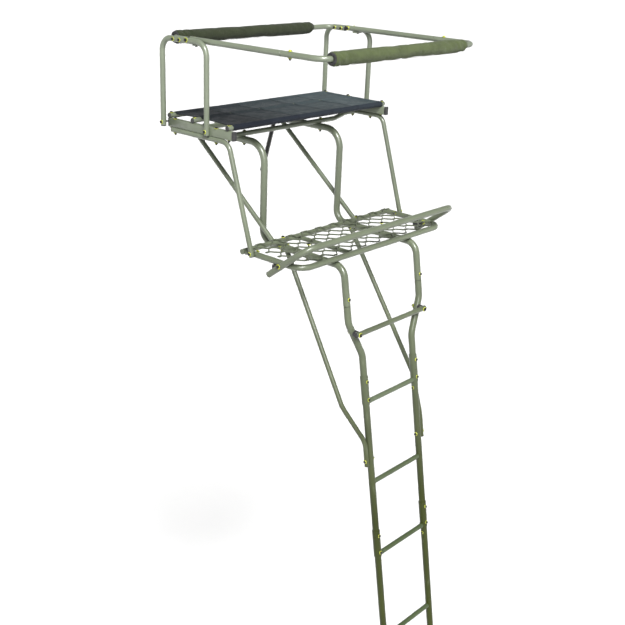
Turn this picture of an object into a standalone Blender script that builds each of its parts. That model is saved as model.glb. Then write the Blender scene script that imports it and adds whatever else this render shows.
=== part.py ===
"""Two-seat ladder tree stand.

A tubular seat frame and foot platform stand on a leaning ladder and rest against a tree.
The padded shooting rail flips up and back on two bolts at the armrest hoops. The footrest
flips back over the platform on two bolts through the platform's side tubes.

Frame: metres, +Z up, X across the stand, +Y towards the tree, ground at Z = 0.
"""

import math

import bpy
import bmesh
from mathutils import Matrix, Quaternion, Vector

# Fits
GAP = 0.0003
BOLT_PLAY = 0.0003

# Tube radii
TUBE_R = 0.0150
BAR_R = 0.0115
BRACE_R = 0.0105
RUNG_R = 0.0110
DECK_TUBE_R = 0.0125
FOOTREST_R = 0.0130
SIDES = 12

# Heights: everything above the ladder is set out from the seat rails' centre line
SEAT_Z = 4.153
RAIL_SIZE = (0.020, 0.036)
RAIL_TOP_RISE = 0.3455
ARM_RISE = 0.3495
CROSSBAR_RISE = -(RAIL_SIZE[1] / 2 + BRACE_R + GAP)
CROSSBAR_DROP = -0.047
MAIN_TOP_DROP = CROSSBAR_DROP - BRACE_R - TUBE_R - GAP
DECK_DROP = -0.4656
MAIN_LOW_DROP = -0.4953
SEAM_DROP = -0.660

# Half widths
MAIN_X = 0.243
RAIL_X = 0.484
HOOP_X = 0.5058
ARM_X = 0.4822
DECK_X = 0.4665
OUTER_BRACE_X = 0.490
FOOTREST_X = 0.4925
DIAGONAL_X = MAIN_X + TUBE_R + BRACE_R + 2 * GAP
LADDER_X = 0.1715

# Depths, from the tree side forward
MAIN_REAR_Y = 0.763
TREE_BAR_Y = 0.742
HOOP_REAR_Y = 0.664
REAR_BAR_Y = 0.631
SEAT_RAIL_Y = (0.644, 0.260)
SEAT_TUBE_Y = (0.639, 0.504, 0.286)
REAR_BAR_END_Y = 0.527
RAIL_PIVOT_Y = 0.504
CROSSBAR_Y = 0.448
HOOP_FRONT_Y = 0.395
MAIN_POST_Y = 0.324
DECK_REAR_Y = 0.204
ARM_SEAM_Y = 0.009
FOOTREST_PIVOT = (-0.024, -0.467)
DECK_FRONT_Y = -0.113
MAIN_FRONT_Y = -0.142
FOOTREST_BAR = (-0.159, -0.368)
FRONT_BAR_Y = -0.199

# Ladder
LADDER_SLOPE = 0.171
RUNG_GAPS = (0.367, 0.419, 0.419, 0.419)
JOINT_GAP = 0.345
FIRST_RUNG_DROP = -1.098
TOP_RUNG = (-0.2225, -0.777)
SOCKET_LENGTH = 0.129
SOCKET_R = 0.0175
SOCKET_DEPTH = 0.106
SOCKET_RISE = SOCKET_LENGTH - RUNG_R - 0.001
INSERT_LENGTH = 0.100
FOOT_R = 0.021
FOOT_HEIGHT = 0.085

# Pads, seat and platform
PAD_R = 0.0272
REAR_PAD_X = (-0.438, 0.335)
FRONT_PAD_X = (-0.416, 0.368)
SLING_HALF_WIDTH = 0.470
SLING_THICKNESS = 0.003
DECK_THICKNESS = 0.003
DIAMOND = (0.0930, 0.0660)
STRAND = 0.006


def ladder_y(drop):
    """Depth of the ladder's leaning plane at a height below the seat rails."""
    return MAIN_FRONT_Y + LADDER_SLOPE * (drop - MAIN_LOW_DROP)


def at(x, y, drop):
    """A point set out from the seat rails' height."""
    return Vector((x, y, SEAT_Z + drop))


def on_ladder(x, drop):
    return at(x, ladder_y(drop), drop)


# ---------------------------------------------------------------- scene and materials

def clear_scene():
    for obj in list(bpy.data.objects):
        bpy.data.objects.remove(obj)


def make_collection(name):
    collection = bpy.data.collections.new(name)
    bpy.context.scene.collection.children.link(collection)
    return collection


def make_material(name, colour, roughness, metallic=0.0):
    material = bpy.data.materials.new(name)
    material.use_nodes = True
    shader = material.node_tree.nodes["Principled BSDF"]
    shader.inputs["Base Color"].default_value = (*colour, 1.0)
    shader.inputs["Roughness"].default_value = roughness
    shader.inputs["Metallic"].default_value = metallic
    return material


def add_object(name, data, material):
    obj = bpy.data.objects.new(name, data)
    PARTS.objects.link(obj)
    if material is not None:
        obj.data.materials.append(material)
    return obj


# ---------------------------------------------------------------- shape helpers

def rounded_path(points, radii, steps=4):
    """The same path with each inner corner replaced by an arc of the given radius."""
    path = [Vector(points[0])]
    for before, corner, after, radius in zip(points, points[1:], points[2:], radii):
        corner = Vector(corner)
        back = (Vector(before) - corner).normalized()
        ahead = (Vector(after) - corner).normalized()
        half = back.angle(ahead) / 2
        reach = radius / math.tan(half)
        centre = corner + (back + ahead).normalized() * (radius / math.sin(half))
        start = corner + back * reach - centre
        end = corner + ahead * reach - centre
        axis = start.cross(end)
        sweep = start.angle(end)
        for step in range(steps + 1):
            path.append(centre + Quaternion(axis, sweep * step / steps) @ start)
    path.append(Vector(points[-1]))
    return path


def tube(name, points, radius, material, bend=None, steps=4):
    """A round bar along a path, as a poly curve with a round bevel."""
    radii = bend if isinstance(bend, tuple) else (bend,) * len(points)
    path = rounded_path(points, radii, steps) if bend else [Vector(p) for p in points]
    curve = bpy.data.curves.new(name, "CURVE")
    curve.dimensions = "3D"
    curve.bevel_depth = radius
    curve.bevel_resolution = (SIDES - 4) // 2
    curve.use_fill_caps = True
    spline = curve.splines.new("POLY")
    spline.points.add(len(path) - 1)
    for point, place in zip(spline.points, path):
        point.co = (*place, 1.0)
    return add_object(name, curve, material)


def as_mesh(obj):
    """Turn a curve object into a mesh object with welded caps."""
    graph = bpy.context.evaluated_depsgraph_get()
    mesh = bpy.data.meshes.new_from_object(obj.evaluated_get(graph))
    work = bmesh.new()
    work.from_mesh(mesh)
    bmesh.ops.remove_doubles(work, verts=work.verts, dist=0.00001)
    work.to_mesh(mesh)
    work.free()
    name = obj.name
    place = obj.matrix_world.copy()
    bpy.data.objects.remove(obj)
    mesh.name = name
    solid = bpy.data.objects.new(name, mesh)
    solid.matrix_world = place
    PARTS.objects.link(solid)
    return solid


def cutter(name, start, end, radius):
    """A hidden round bar that another solid is cut with."""
    start, end = Vector(start), Vector(end)
    work = bmesh.new()
    bmesh.ops.create_cone(
        work, cap_ends=True, segments=16, radius1=radius, radius2=radius,
        depth=(end - start).length)
    mesh = bpy.data.meshes.new(name)
    work.to_mesh(mesh)
    work.free()
    obj = bpy.data.objects.new(name, mesh)
    CUTTERS.objects.link(obj)
    turn = (end - start).to_track_quat("Z", "Y").to_matrix().to_4x4()
    obj.matrix_world = Matrix.Translation((start + end) / 2) @ turn
    obj.hide_render = True
    obj.display_type = "WIRE"
    return obj


def drill(obj, start, end, radius):
    """Cut a round hole from start to end."""
    hole = obj.modifiers.new("hole", "BOOLEAN")
    hole.operation = "DIFFERENCE"
    hole.object = cutter(f"{obj.name}_hole_{len(obj.modifiers)}", start, end, radius)
    return obj


def turned(name, profile, material, place=None, sides=SIDES):
    """A turned solid: a profile of (radius, height) points spun about its own Z."""
    mesh = bpy.data.meshes.new(name)
    closed = profile[0][0] > 0
    count = len(profile)
    edges = [(i, (i + 1) % count) for i in range(count if closed else count - 1)]
    mesh.from_pydata([(radius, 0.0, height) for radius, height in profile], edges, [])
    obj = add_object(name, mesh, material)
    screw = obj.modifiers.new("turn", "SCREW")
    screw.steps = sides
    screw.render_steps = sides
    screw.use_merge_vertices = True
    screw.merge_threshold = 0.00005
    screw.use_smooth_shade = True
    if place is not None:
        obj.matrix_world = place
    return obj


def along(start, direction):
    """A placement whose Z runs along a direction."""
    turn = Vector(direction).to_track_quat("Z", "Y").to_matrix().to_4x4()
    return Matrix.Translation(start) @ turn


def box(name, low, high, material):
    low, high = Vector(low), Vector(high)
    work = bmesh.new()
    bmesh.ops.create_cube(work, size=1.0)
    bmesh.ops.scale(work, vec=high - low, verts=work.verts)
    mesh = bpy.data.meshes.new(name)
    work.to_mesh(mesh)
    work.free()
    obj = add_object(name, mesh, material)
    obj.location = (low + high) / 2
    return obj


def extruded(name, outlines, thickness, material, place):
    """A flat outline, with any further outlines as holes, given a thickness along its Z."""
    curve = bpy.data.curves.new(name, "CURVE")
    curve.dimensions = "2D"
    curve.fill_mode = "BOTH"
    curve.extrude = thickness / 2
    for outline in outlines:
        spline = curve.splines.new("POLY")
        spline.points.add(len(outline) - 1)
        spline.use_cyclic_u = True
        for point, (u, v) in zip(spline.points, outline):
            point.co = (u, v, 0.0, 1.0)
    obj = add_object(name, curve, material)
    obj.matrix_world = place
    return obj


def bolt(name, centre, grip, radius, material):
    """A bolt across the stand: a head and a nut joined by a shank."""
    head = radius * 1.8
    thick = radius * 1.2
    half = grip / 2
    profile = [
        (0, half + thick), (head, half + thick), (head, half), (radius, half),
        (radius, -half), (head, -half), (head, -half - thick), (0, -half - thick)]
    return turned(name, profile, material, along(centre, (1, 0, 0)), sides=16)


# ---------------------------------------------------------------- the upper frame

def main_tube(side, label):
    """Seat support, post, platform support and ladder head in one bent tube."""
    x = side * MAIN_X
    route = [
        at(x, MAIN_REAR_Y, MAIN_TOP_DROP),
        at(x, MAIN_POST_Y, MAIN_TOP_DROP),
        at(x, MAIN_POST_Y, MAIN_LOW_DROP),
        on_ladder(x, MAIN_LOW_DROP),
        on_ladder(x, SEAM_DROP)]
    obj = as_mesh(tube(f"main_tube_{label}", route, TUBE_R, GREEN, bend=(0.084, 0.058, 0.058), steps=5))
    mouth = on_ladder(x, SEAM_DROP - 0.010)
    return drill(obj, mouth, on_ladder(x, SEAM_DROP + 0.062), SPIGOT_R + GAP)


def seat_rail(side, label):
    half_width = RAIL_SIZE[0] / 2
    half_height = RAIL_SIZE[1] / 2
    low = at(side * RAIL_X - half_width, SEAT_RAIL_Y[1], -half_height)
    high = at(side * RAIL_X + half_width, SEAT_RAIL_Y[0], half_height)
    return box(f"seat_rail_{label}", low, high, GREEN)


def hoop(side, label):
    """Armrest hoop bolted to the outside of the seat rail."""
    x = side * HOOP_X
    foot = -0.015
    route = [
        at(x, HOOP_REAR_Y, foot), at(x, HOOP_REAR_Y, RAIL_TOP_RISE),
        at(x, HOOP_FRONT_Y, RAIL_TOP_RISE), at(x, HOOP_FRONT_Y, foot)]
    obj = as_mesh(tube(f"armrest_hoop_{label}", route, BAR_R, GREEN, bend=0.053))
    pivot = at(x, RAIL_PIVOT_Y, ARM_RISE)
    reach = Vector((0.02, 0, 0))
    return drill(obj, pivot - reach, pivot + reach, PIVOT_R + BOLT_PLAY)


def upper_diagonal(side, label):
    x = side * DIAGONAL_X
    ends = [at(x, 0.730, -0.084), at(x, 0.232, -0.478)]
    return tube(f"upper_diagonal_{label}", ends, BRACE_R, GREEN)


def outer_brace(side, label):
    """Bolted under the seat rail, bent down to the platform's side tube."""
    x = side * OUTER_BRACE_X
    route = [at(x, 0.623, CROSSBAR_RISE), at(x, 0.282, CROSSBAR_RISE), at(x, 0.139, -0.470)]
    return tube(f"outer_brace_{label}", route, BRACE_R, GREEN, bend=0.050)


def lower_brace(side, label):
    """From the main tube under the platform's back down to the ladder stile."""
    low_x = LADDER_X + TUBE_R + BRACE_R + 2 * GAP
    route = [
        at(side * 0.2165, 0.2195, -0.4877), at(side * 0.250, -0.179, -1.1176),
        on_ladder(side * low_x, -1.270), on_ladder(side * low_x, -1.379)]
    return tube(f"lower_brace_{label}", route, BRACE_R, GREEN, bend=0.050, steps=3)


def crossbar():
    """Joggled bar that lies on the main tubes and reaches up under the seat rails."""
    end_x = OUTER_BRACE_X - BRACE_R - 0.001
    half = [(end_x, CROSSBAR_RISE), (0.415, CROSSBAR_RISE), (0.340, CROSSBAR_DROP)]
    route = [at(-x, CROSSBAR_Y, drop) for x, drop in half]
    route += [at(x, CROSSBAR_Y, drop) for x, drop in reversed(half)]
    return tube("mid_crossbar", route, BRACE_R, GREEN, bend=0.060, steps=3)


def cross_brace():
    """Single sway brace from one main tube's rear end to the other's post."""
    ends = [at(0.236, 0.740, -0.0985), at(-0.230, 0.348, -0.186)]
    return tube("cross_brace", ends, BRACE_R * 0.95, BLACK)


def tree_bracket():
    """Bar between the main tubes' rear ends with a V-shaped blade for the trunk."""
    half = MAIN_X - TUBE_R - GAP
    ends = [at(-half, TREE_BAR_Y, MAIN_TOP_DROP), at(half, TREE_BAR_Y, MAIN_TOP_DROP)]
    obj = as_mesh(tube("tree_bracket", ends, 0.0125, GREEN))
    tip_x, tip_y = 0.105, 0.7888
    root_x, root_y = 0.030, 0.756
    thick = 0.006
    back = [(-tip_x, tip_y), (-root_x, root_y), (root_x, root_y), (tip_x, tip_y)]
    front = [(x, y - thick) for x, y in reversed(back)]
    outline = [back + front]
    place = Matrix.Translation((0, 0, SEAT_Z + MAIN_TOP_DROP))
    blade = as_mesh(extruded("tree_blade", outline, 0.028, GREEN, place))
    PARTS.objects.unlink(blade)
    CUTTERS.objects.link(blade)
    blade.hide_render = True
    blade.display_type = "WIRE"
    weld = obj.modifiers.new("weld", "BOOLEAN")
    weld.operation = "UNION"
    weld.object = blade
    return obj


# ---------------------------------------------------------------- rails and pads

def rear_rail():
    """Back bar: its ends turn forward and bolt to the hoops."""
    route = [
        at(-ARM_X, REAR_BAR_END_Y, RAIL_TOP_RISE), at(-ARM_X, REAR_BAR_Y, RAIL_TOP_RISE),
        at(ARM_X, REAR_BAR_Y, RAIL_TOP_RISE), at(ARM_X, REAR_BAR_END_Y, RAIL_TOP_RISE)]
    return tube("rear_rail", route, BAR_R, GREEN, bend=0.040)


def pad(name, span, y, rise):
    """Foam sleeve on a bar."""
    low, high = span
    bore = BAR_R + GAP
    profile = [(PAD_R, high), (PAD_R, low), (bore, low), (bore, high)]
    place = along(at(0, y, rise), (1, 0, 0))
    return turned(name, profile, PADDING, place, sides=16)


def rail_arm(side, label):
    """Side arm: turns on the hoop's bolt and carries the front rail on a spigot."""
    tail = RAIL_PIVOT_Y + 0.010
    length = tail - ARM_SEAM_Y
    spigot = length + 0.058
    profile = [(0, 0), (BAR_R, 0), (BAR_R, -length), (SPIGOT_R - 0.003, -length),
               (SPIGOT_R - 0.003, -spigot), (0, -spigot)]
    place = along(at(side * ARM_X, tail, ARM_RISE), (0, 1, 0))
    obj = turned(f"rail_arm_{label}", profile, GREEN, place)
    pivot = at(side * ARM_X, RAIL_PIVOT_Y, ARM_RISE)
    reach = Vector((0.02, 0, 0))
    return drill(obj, pivot - reach, pivot + reach, PIVOT_R + BOLT_PLAY)


def front_rail():
    """Front bar: its ends turn back and slide over the arms' spigots."""
    end_y = ARM_SEAM_Y - GAP
    route = [
        at(-ARM_X, end_y, ARM_RISE), at(-ARM_X, FRONT_BAR_Y, ARM_RISE),
        at(ARM_X, FRONT_BAR_Y, ARM_RISE), at(ARM_X, end_y, ARM_RISE)]
    obj = as_mesh(tube("front_rail", route, BAR_R, GREEN, bend=0.060))
    for side in (-1, 1):
        mouth = at(side * ARM_X, end_y + 0.010, ARM_RISE)
        floor = at(side * ARM_X, end_y - 0.062, ARM_RISE)
        drill(obj, mouth, floor, SPIGOT_R - 0.003 + GAP)
    return obj


def rail_stop(side, label):
    """Step-shaped plate under the hoop that the arm rests on."""
    top = ARM_RISE - BAR_R - GAP
    base = RAIL_TOP_RISE - BAR_R - GAP
    inner, step, outer = ARM_X - 0.009, ARM_X + 0.008, HOOP_X + 0.006
    outline = [
        (inner, top), (inner, base - 0.003), (outer, base - 0.003),
        (outer, base), (step, base), (step, top)]
    outline = [(side * x, z) for x, z in outline]
    place = Matrix.Translation(at(0, 0.464, 0)) @ Matrix.Rotation(math.radians(90), 4, "X")
    return extruded(f"rail_stop_{label}", [outline], 0.024, GREEN, place)


def rail_pivot_bolt(side, label):
    inner = ARM_X - BAR_R - 0.0008
    outer = HOOP_X + BAR_R + 0.0005
    centre = at(side * (inner + outer) / 2, RAIL_PIVOT_Y, ARM_RISE)
    return bolt(f"rail_pivot_bolt_{label}", centre, outer - inner, PIVOT_R, STEEL)


# ---------------------------------------------------------------- seat

def seat_tube(label, y):
    rise = RAIL_SIZE[1] / 2 + BRACE_R + GAP
    half = RAIL_X + 0.010
    return tube(f"seat_{label}_tube", [at(-half, y, rise), at(half, y, rise)], BRACE_R, GREEN)


def arc(centre, radius, start, end, steps):
    """Points on an arc, angles in degrees."""
    sweep = [math.radians(start + (end - start) * i / steps) for i in range(steps + 1)]
    return [(centre[0] + radius * math.cos(a), centre[1] + radius * math.sin(a)) for a in sweep]


def seat_sling():
    """Fabric sheet with a hem sewn round the front and the rear tube."""
    rise = RAIL_SIZE[1] / 2 + BRACE_R + GAP
    rear, front = SEAT_TUBE_Y[0], SEAT_TUBE_Y[2]
    bore = BRACE_R + 0.0006
    skin = bore + SLING_THICKNESS
    rear_hem = arc((rear, rise), skin, 90, -150, 9)
    front_hem = arc((front, rise), skin, 330, 90, 9)
    belly = skin - SLING_THICKNESS
    under = [(rear - skin, rise + belly), (front + skin, rise + belly)]
    outer = rear_hem + under + front_hem
    holes = [arc((y, rise), bore, 0, 330, 11) for y in (rear, front)]
    place = Matrix.Translation((0, 0, SEAT_Z)) @ Matrix(
        ((0, 0, 1, 0), (1, 0, 0, 0), (0, 1, 0, 0), (0, 0, 0, 1)))
    return extruded("seat_sling", [outer] + holes, 2 * SLING_HALF_WIDTH, SLING, place)


# ---------------------------------------------------------------- platform and footrest

def platform_rail():
    """Side tubes and front tube of the platform in one bend."""
    rear_y = DECK_REAR_Y - BAR_R - GAP
    route = [
        at(-DECK_X, rear_y, DECK_DROP), at(-DECK_X, DECK_FRONT_Y, DECK_DROP),
        at(DECK_X, DECK_FRONT_Y, DECK_DROP), at(DECK_X, rear_y, DECK_DROP)]
    obj = as_mesh(tube("platform_rail", route, DECK_TUBE_R, GREEN, bend=0.060))
    y, drop = FOOTREST_PIVOT
    reach = Vector((0.02, 0, 0))
    for side in (-1, 1):
        pivot = at(side * DECK_X, y, drop)
        drill(obj, pivot - reach, pivot + reach, PIVOT_R + BOLT_PLAY)
    return obj


def platform_rear_rail():
    ends = [at(-0.485, DECK_REAR_Y, DECK_DROP), at(0.485, DECK_REAR_Y, DECK_DROP)]
    return tube("platform_rear_rail", ends, BAR_R, GREEN)


def deck_joist(side, label):
    rear_y = DECK_REAR_Y - BAR_R - GAP
    front_y = DECK_FRONT_Y + DECK_TUBE_R + GAP
    x = side * 0.157
    ends = [at(x, rear_y, DECK_DROP), at(x, front_y, DECK_DROP)]
    return tube(f"deck_joist_{label}", ends, 0.010, GREEN)


def platform_deck():
    """Expanded steel mesh: a thin sheet with staggered diamond openings."""
    half_width = DECK_X - 0.010
    rear_y, front_y = DECK_REAR_Y - 0.003, DECK_FRONT_Y + 0.005
    pitch_x, pitch_y = DIAMOND
    half_x = pitch_x / 2 - STRAND
    half_y = pitch_y / 2 - STRAND * 0.75
    outline = [(-half_width, front_y), (half_width, front_y), (half_width, rear_y), (-half_width, rear_y)]
    holes = []
    rows = int((rear_y - front_y) / (pitch_y / 2))
    for row in range(1, rows):
        y = front_y + (row + 0.15) * pitch_y / 2
        shift = pitch_x / 2 if row % 2 else 0.0
        for column in range(-5, 6):
            x = column * pitch_x + shift
            if abs(x) + half_x < half_width - STRAND:
                holes.append([(x - half_x, y), (x, y - half_y), (x + half_x, y), (x, y + half_y)])
    drop = DECK_DROP + DECK_TUBE_R + GAP + DECK_THICKNESS / 2
    place = Matrix.Translation((0, 0, SEAT_Z + drop))
    return extruded("platform_deck", [outline] + holes, DECK_THICKNESS, GREEN, place)


def footrest():
    """U-shaped bar on two arms that pivot on the platform's side tubes."""
    tail = (0.038, -0.518)
    bar_y, bar_drop = FOOTREST_BAR
    route = [
        at(-FOOTREST_X, *tail), at(-FOOTREST_X, bar_y, bar_drop),
        at(FOOTREST_X, bar_y, bar_drop), at(FOOTREST_X, *tail)]
    obj = as_mesh(tube("footrest", route, FOOTREST_R, GREEN, bend=0.062))
    reach = Vector((0.02, 0, 0))
    for side in (-1, 1):
        pivot = at(side * FOOTREST_X, *FOOTREST_PIVOT)
        drill(obj, pivot - reach, pivot + reach, PIVOT_R + BOLT_PLAY)
    return obj


def footrest_bumper(side, label):
    """Rubber block on the arm's tail that stops against the side tube's underside."""
    top = DECK_DROP - DECK_TUBE_R - GAP
    inner, outer = DECK_X - 0.010, FOOTREST_X - FOOTREST_R - GAP
    xs = sorted((side * inner, side * outer))
    low = at(xs[0], -0.004, top - 0.020)
    high = at(xs[1], 0.038, top)
    return box(f"footrest_bumper_{label}", low, high, RUBBER)


def footrest_pivot_bolt(side, label):
    inner = DECK_X - DECK_TUBE_R - 0.0005
    outer = FOOTREST_X + FOOTREST_R + 0.0008
    y, drop = FOOTREST_PIVOT
    centre = at(side * (inner + outer) / 2, y, drop)
    return bolt(f"footrest_pivot_bolt_{label}", centre, outer - inner, PIVOT_R, STEEL)


# ---------------------------------------------------------------- ladder

def rung_drops():
    """Heights of the rungs below the seat rails: two to a ladder section."""
    drops = []
    drop = FIRST_RUNG_DROP
    for gap in RUNG_GAPS:
        drops += [drop, drop - gap]
        drop -= gap + JOINT_GAP
    return drops


def top_stile(side, label):
    """Upper ladder stile: joggles inward from the main tube to the first ladder section."""
    first_socket = rung_drops()[0] + SOCKET_RISE
    end_drop = first_socket - INSERT_LENGTH
    route = [
        on_ladder(side * MAIN_X, SEAM_DROP - GAP), on_ladder(side * MAIN_X, -0.734),
        on_ladder(side * LADDER_X, -0.8865), on_ladder(side * LADDER_X, end_drop)]
    obj = as_mesh(tube(f"top_stile_{label}", route, TUBE_R, GREEN, bend=0.076, steps=3))
    spigot = cutter(
        f"top_stile_{label}_spigot", on_ladder(side * MAIN_X, SEAM_DROP - 0.010),
        on_ladder(side * MAIN_X, SEAM_DROP + 0.056), SPIGOT_R)
    weld = obj.modifiers.new("spigot", "BOOLEAN")
    weld.operation = "UNION"
    weld.object = spigot
    return obj


def ladder_stile(side, label, index, drops):
    """Straight stile with a swaged socket at its top; the foot of the one above slides in."""
    stretch = math.hypot(1.0, LADDER_SLOPE)
    top_drop = drops[2 * index] + SOCKET_RISE
    if 2 * index + 2 < len(drops):
        end_drop = drops[2 * index + 2] + SOCKET_RISE - INSERT_LENGTH
    else:
        end_drop = -SEAT_Z + 0.010
    length = (top_drop - end_drop) * stretch
    bore = TUBE_R + GAP
    shoulder = -SOCKET_LENGTH
    profile = [
        (0, -SOCKET_DEPTH), (bore, -SOCKET_DEPTH), (bore, 0), (SOCKET_R, 0), (SOCKET_R, shoulder),
        (TUBE_R, shoulder - 0.003), (TUBE_R, -length), (0, -length)]
    start = on_ladder(side * LADDER_X, top_drop)
    place = along(start, (0, LADDER_SLOPE, 1))
    return turned(f"ladder_stile_{label}_{index + 1}", profile, GREEN, place)


def rung(number, drop):
    """Every second rung meets a socket, the others a plain stile."""
    half = LADDER_X - (TUBE_R if number % 2 else SOCKET_R) - GAP
    return tube(f"rung_{number}", [on_ladder(-half, drop), on_ladder(half, drop)], RUNG_R, GREEN)


def top_rung():
    """Rung bolted to the front of the two upper stiles."""
    half = 0.236
    return tube("rung_1", [at(-half, *TOP_RUNG), at(half, *TOP_RUNG)], RUNG_R, GREEN)


def foot(side, label):
    """Boot on the ladder's lower end, cut level with the ground."""
    stretch = math.hypot(1.0, LADDER_SLOPE)
    axis = Vector((0, LADDER_SLOPE, 1)).normalized()
    bottom = on_ladder(side * LADDER_X, -SEAT_Z) - axis * 0.020
    floor = 0.020 + 0.0095 * stretch
    top = 0.020 + FOOT_HEIGHT
    bore = TUBE_R + GAP
    profile = [(0, floor), (bore, floor), (bore, top), (FOOT_R, top), (FOOT_R, 0), (0, 0)]
    obj = turned(f"ladder_foot_{label}", profile, RUBBER, along(bottom, axis), sides=16)
    ground = box(f"ladder_foot_{label}_ground", (-0.5, -1.2, -0.2), (0.5, 0.2, 0.0), None)
    PARTS.objects.unlink(ground)
    CUTTERS.objects.link(ground)
    ground.hide_render = True
    ground.display_type = "WIRE"
    level = obj.modifiers.new("level", "BOOLEAN")
    level.operation = "DIFFERENCE"
    level.object = ground
    return obj


# ---------------------------------------------------------------- assembly

PIVOT_R = 0.0042
SPIGOT_R = 0.0120

clear_scene()
PARTS = make_collection("ladder_tree_stand")
CUTTERS = make_collection("cutters")
GREEN = make_material("green_powder_coat", (0.235, 0.285, 0.205), 0.45, 0.2)
BLACK = make_material("black_coat", (0.015, 0.015, 0.012), 0.5)
STEEL = make_material("zinc_plated_steel", (0.55, 0.55, 0.30), 0.35, 0.9)
RUBBER = make_material("black_rubber", (0.015, 0.015, 0.015), 0.7)
PADDING = make_material("olive_sleeve", (0.10, 0.13, 0.06), 0.85)
SLING = make_material("black_sling", (0.03, 0.035, 0.04), 0.7)

for SIDE, LABEL in ((-1, "left"), (1, "right")):
    main_tube(SIDE, LABEL)
    seat_rail(SIDE, LABEL)
    hoop(SIDE, LABEL)
    upper_diagonal(SIDE, LABEL)
    outer_brace(SIDE, LABEL)
    lower_brace(SIDE, LABEL)
    rail_arm(SIDE, LABEL)
    rail_stop(SIDE, LABEL)
    rail_pivot_bolt(SIDE, LABEL)
    deck_joist(SIDE, LABEL)
    footrest_bumper(SIDE, LABEL)
    footrest_pivot_bolt(SIDE, LABEL)
    top_stile(SIDE, LABEL)
    for INDEX in range(len(RUNG_GAPS)):
        ladder_stile(SIDE, LABEL, INDEX, rung_drops())
    foot(SIDE, LABEL)

crossbar()
cross_brace()
tree_bracket()
rear_rail()
pad("rear_pad", REAR_PAD_X, REAR_BAR_Y, RAIL_TOP_RISE)
front_rail()
pad("front_pad", FRONT_PAD_X, FRONT_BAR_Y, ARM_RISE)
for LABEL, DEPTH in zip(("rear", "mid", "front"), SEAT_TUBE_Y):
    seat_tube(LABEL, DEPTH)
seat_sling()
platform_rail()
platform_rear_rail()
platform_deck()
footrest()
top_rung()
for NUMBER, DROP in enumerate(rung_drops(), start=2):
    rung(NUMBER, DROP)
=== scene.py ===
"""Looks of the two-seat ladder tree stand: coated tubes, hardware, sleeves, sling and mesh deck.

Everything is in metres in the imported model's frame: +Z up, +Y towards the tree.
"""

import math

import bmesh
import bpy
from mathutils import Matrix, Quaternion, Vector, noise


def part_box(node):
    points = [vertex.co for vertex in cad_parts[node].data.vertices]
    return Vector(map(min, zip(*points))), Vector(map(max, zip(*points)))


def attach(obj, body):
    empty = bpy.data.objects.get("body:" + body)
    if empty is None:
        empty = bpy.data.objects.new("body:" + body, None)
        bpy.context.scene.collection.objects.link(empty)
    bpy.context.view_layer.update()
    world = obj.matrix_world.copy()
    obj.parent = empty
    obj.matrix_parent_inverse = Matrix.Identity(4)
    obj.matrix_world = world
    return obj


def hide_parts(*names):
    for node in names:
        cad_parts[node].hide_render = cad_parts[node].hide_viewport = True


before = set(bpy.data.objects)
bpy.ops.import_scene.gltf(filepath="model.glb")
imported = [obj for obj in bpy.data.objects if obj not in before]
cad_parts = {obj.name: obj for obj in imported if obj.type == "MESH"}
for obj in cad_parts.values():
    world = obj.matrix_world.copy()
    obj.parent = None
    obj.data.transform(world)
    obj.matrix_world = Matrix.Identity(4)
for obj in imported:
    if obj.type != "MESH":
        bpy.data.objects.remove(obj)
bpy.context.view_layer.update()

# Tube radii
TUBE_R = 0.0150
BAR_R = 0.0115
BRACE_R = 0.0105
RUNG_R = 0.0110
JOIST_R = 0.0100
DECK_TUBE_R = 0.0125
FOOTREST_R = 0.0130
SOCKET_R = 0.0175
TREE_BAR_R = 0.0125
WALL = 0.0016
GAP = 0.0003
EDGE = 0.0005

# Heights, as drops from the seat rails' centre line
SEAT_Z = 4.153
RAIL_SIZE = (0.020, 0.036)
SEAT_TUBE_RISE = RAIL_SIZE[1] / 2 + BRACE_R + GAP
HOOP_RISE = 0.3455
ARM_RISE = 0.3495
BRACE_RISE = -0.0288
CROSSBAR_DROP = -0.047
MAIN_TOP_DROP = -0.0728
DECK_DROP = -0.4656
MAIN_LOW_DROP = -0.4953
SEAM_DROP = -0.660

# Half widths
MAIN_X = 0.243
RAIL_X = 0.484
HOOP_X = 0.5058
ARM_X = 0.4822
DECK_X = 0.4665
OUTER_BRACE_X = 0.490
FOOTREST_X = 0.4925
DIAGONAL_X = 0.2691
LADDER_X = 0.1715
JOIST_X = 0.157
BRACE_TOP_X = 0.2165
RUNG_BOLT_X = 0.222

# Depths
MAIN_REAR_Y = 0.763
TREE_BAR_Y = 0.742
HOOP_Y = (0.664, 0.395)
REAR_BAR_Y = 0.631
REAR_BAR_END_Y = 0.527
RAIL_PIVOT_Y = 0.504
SEAT_RAIL_Y = (0.644, 0.260)
SEAT_TUBE_Y = (0.639, 0.494, 0.286)
CROSSBAR_Y = 0.448
MAIN_POST_Y = 0.324
DECK_REAR_Y = 0.204
ARM_SEAM_Y = 0.009
DECK_FRONT_Y = -0.113
DECK_BEND = 0.060
MAIN_FRONT_Y = -0.142
FOOTREST_PIVOT = (-0.024, -0.467)
FOOTREST_TAIL = (0.038, -0.518)
FOOTREST_BAR = (-0.159, -0.368)
FRONT_BAR_Y = -0.199

# Ladder
LADDER_SLOPE = 0.171
LADDER_AXIS = Vector((0, LADDER_SLOPE, 1)).normalized()
LADDER_STRETCH = math.hypot(1.0, LADDER_SLOPE)
SECTIONS = 4
RUNG_DROPS = (-1.098, -1.465, -1.810, -2.229, -2.574, -2.993, -3.338, -3.757)
TOP_RUNG = (-0.2225, -0.777)
SOCKET_LENGTH = 0.129
SOCKET_RISE = SOCKET_LENGTH - RUNG_R - 0.001
INSERT_LENGTH = 0.100

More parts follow.
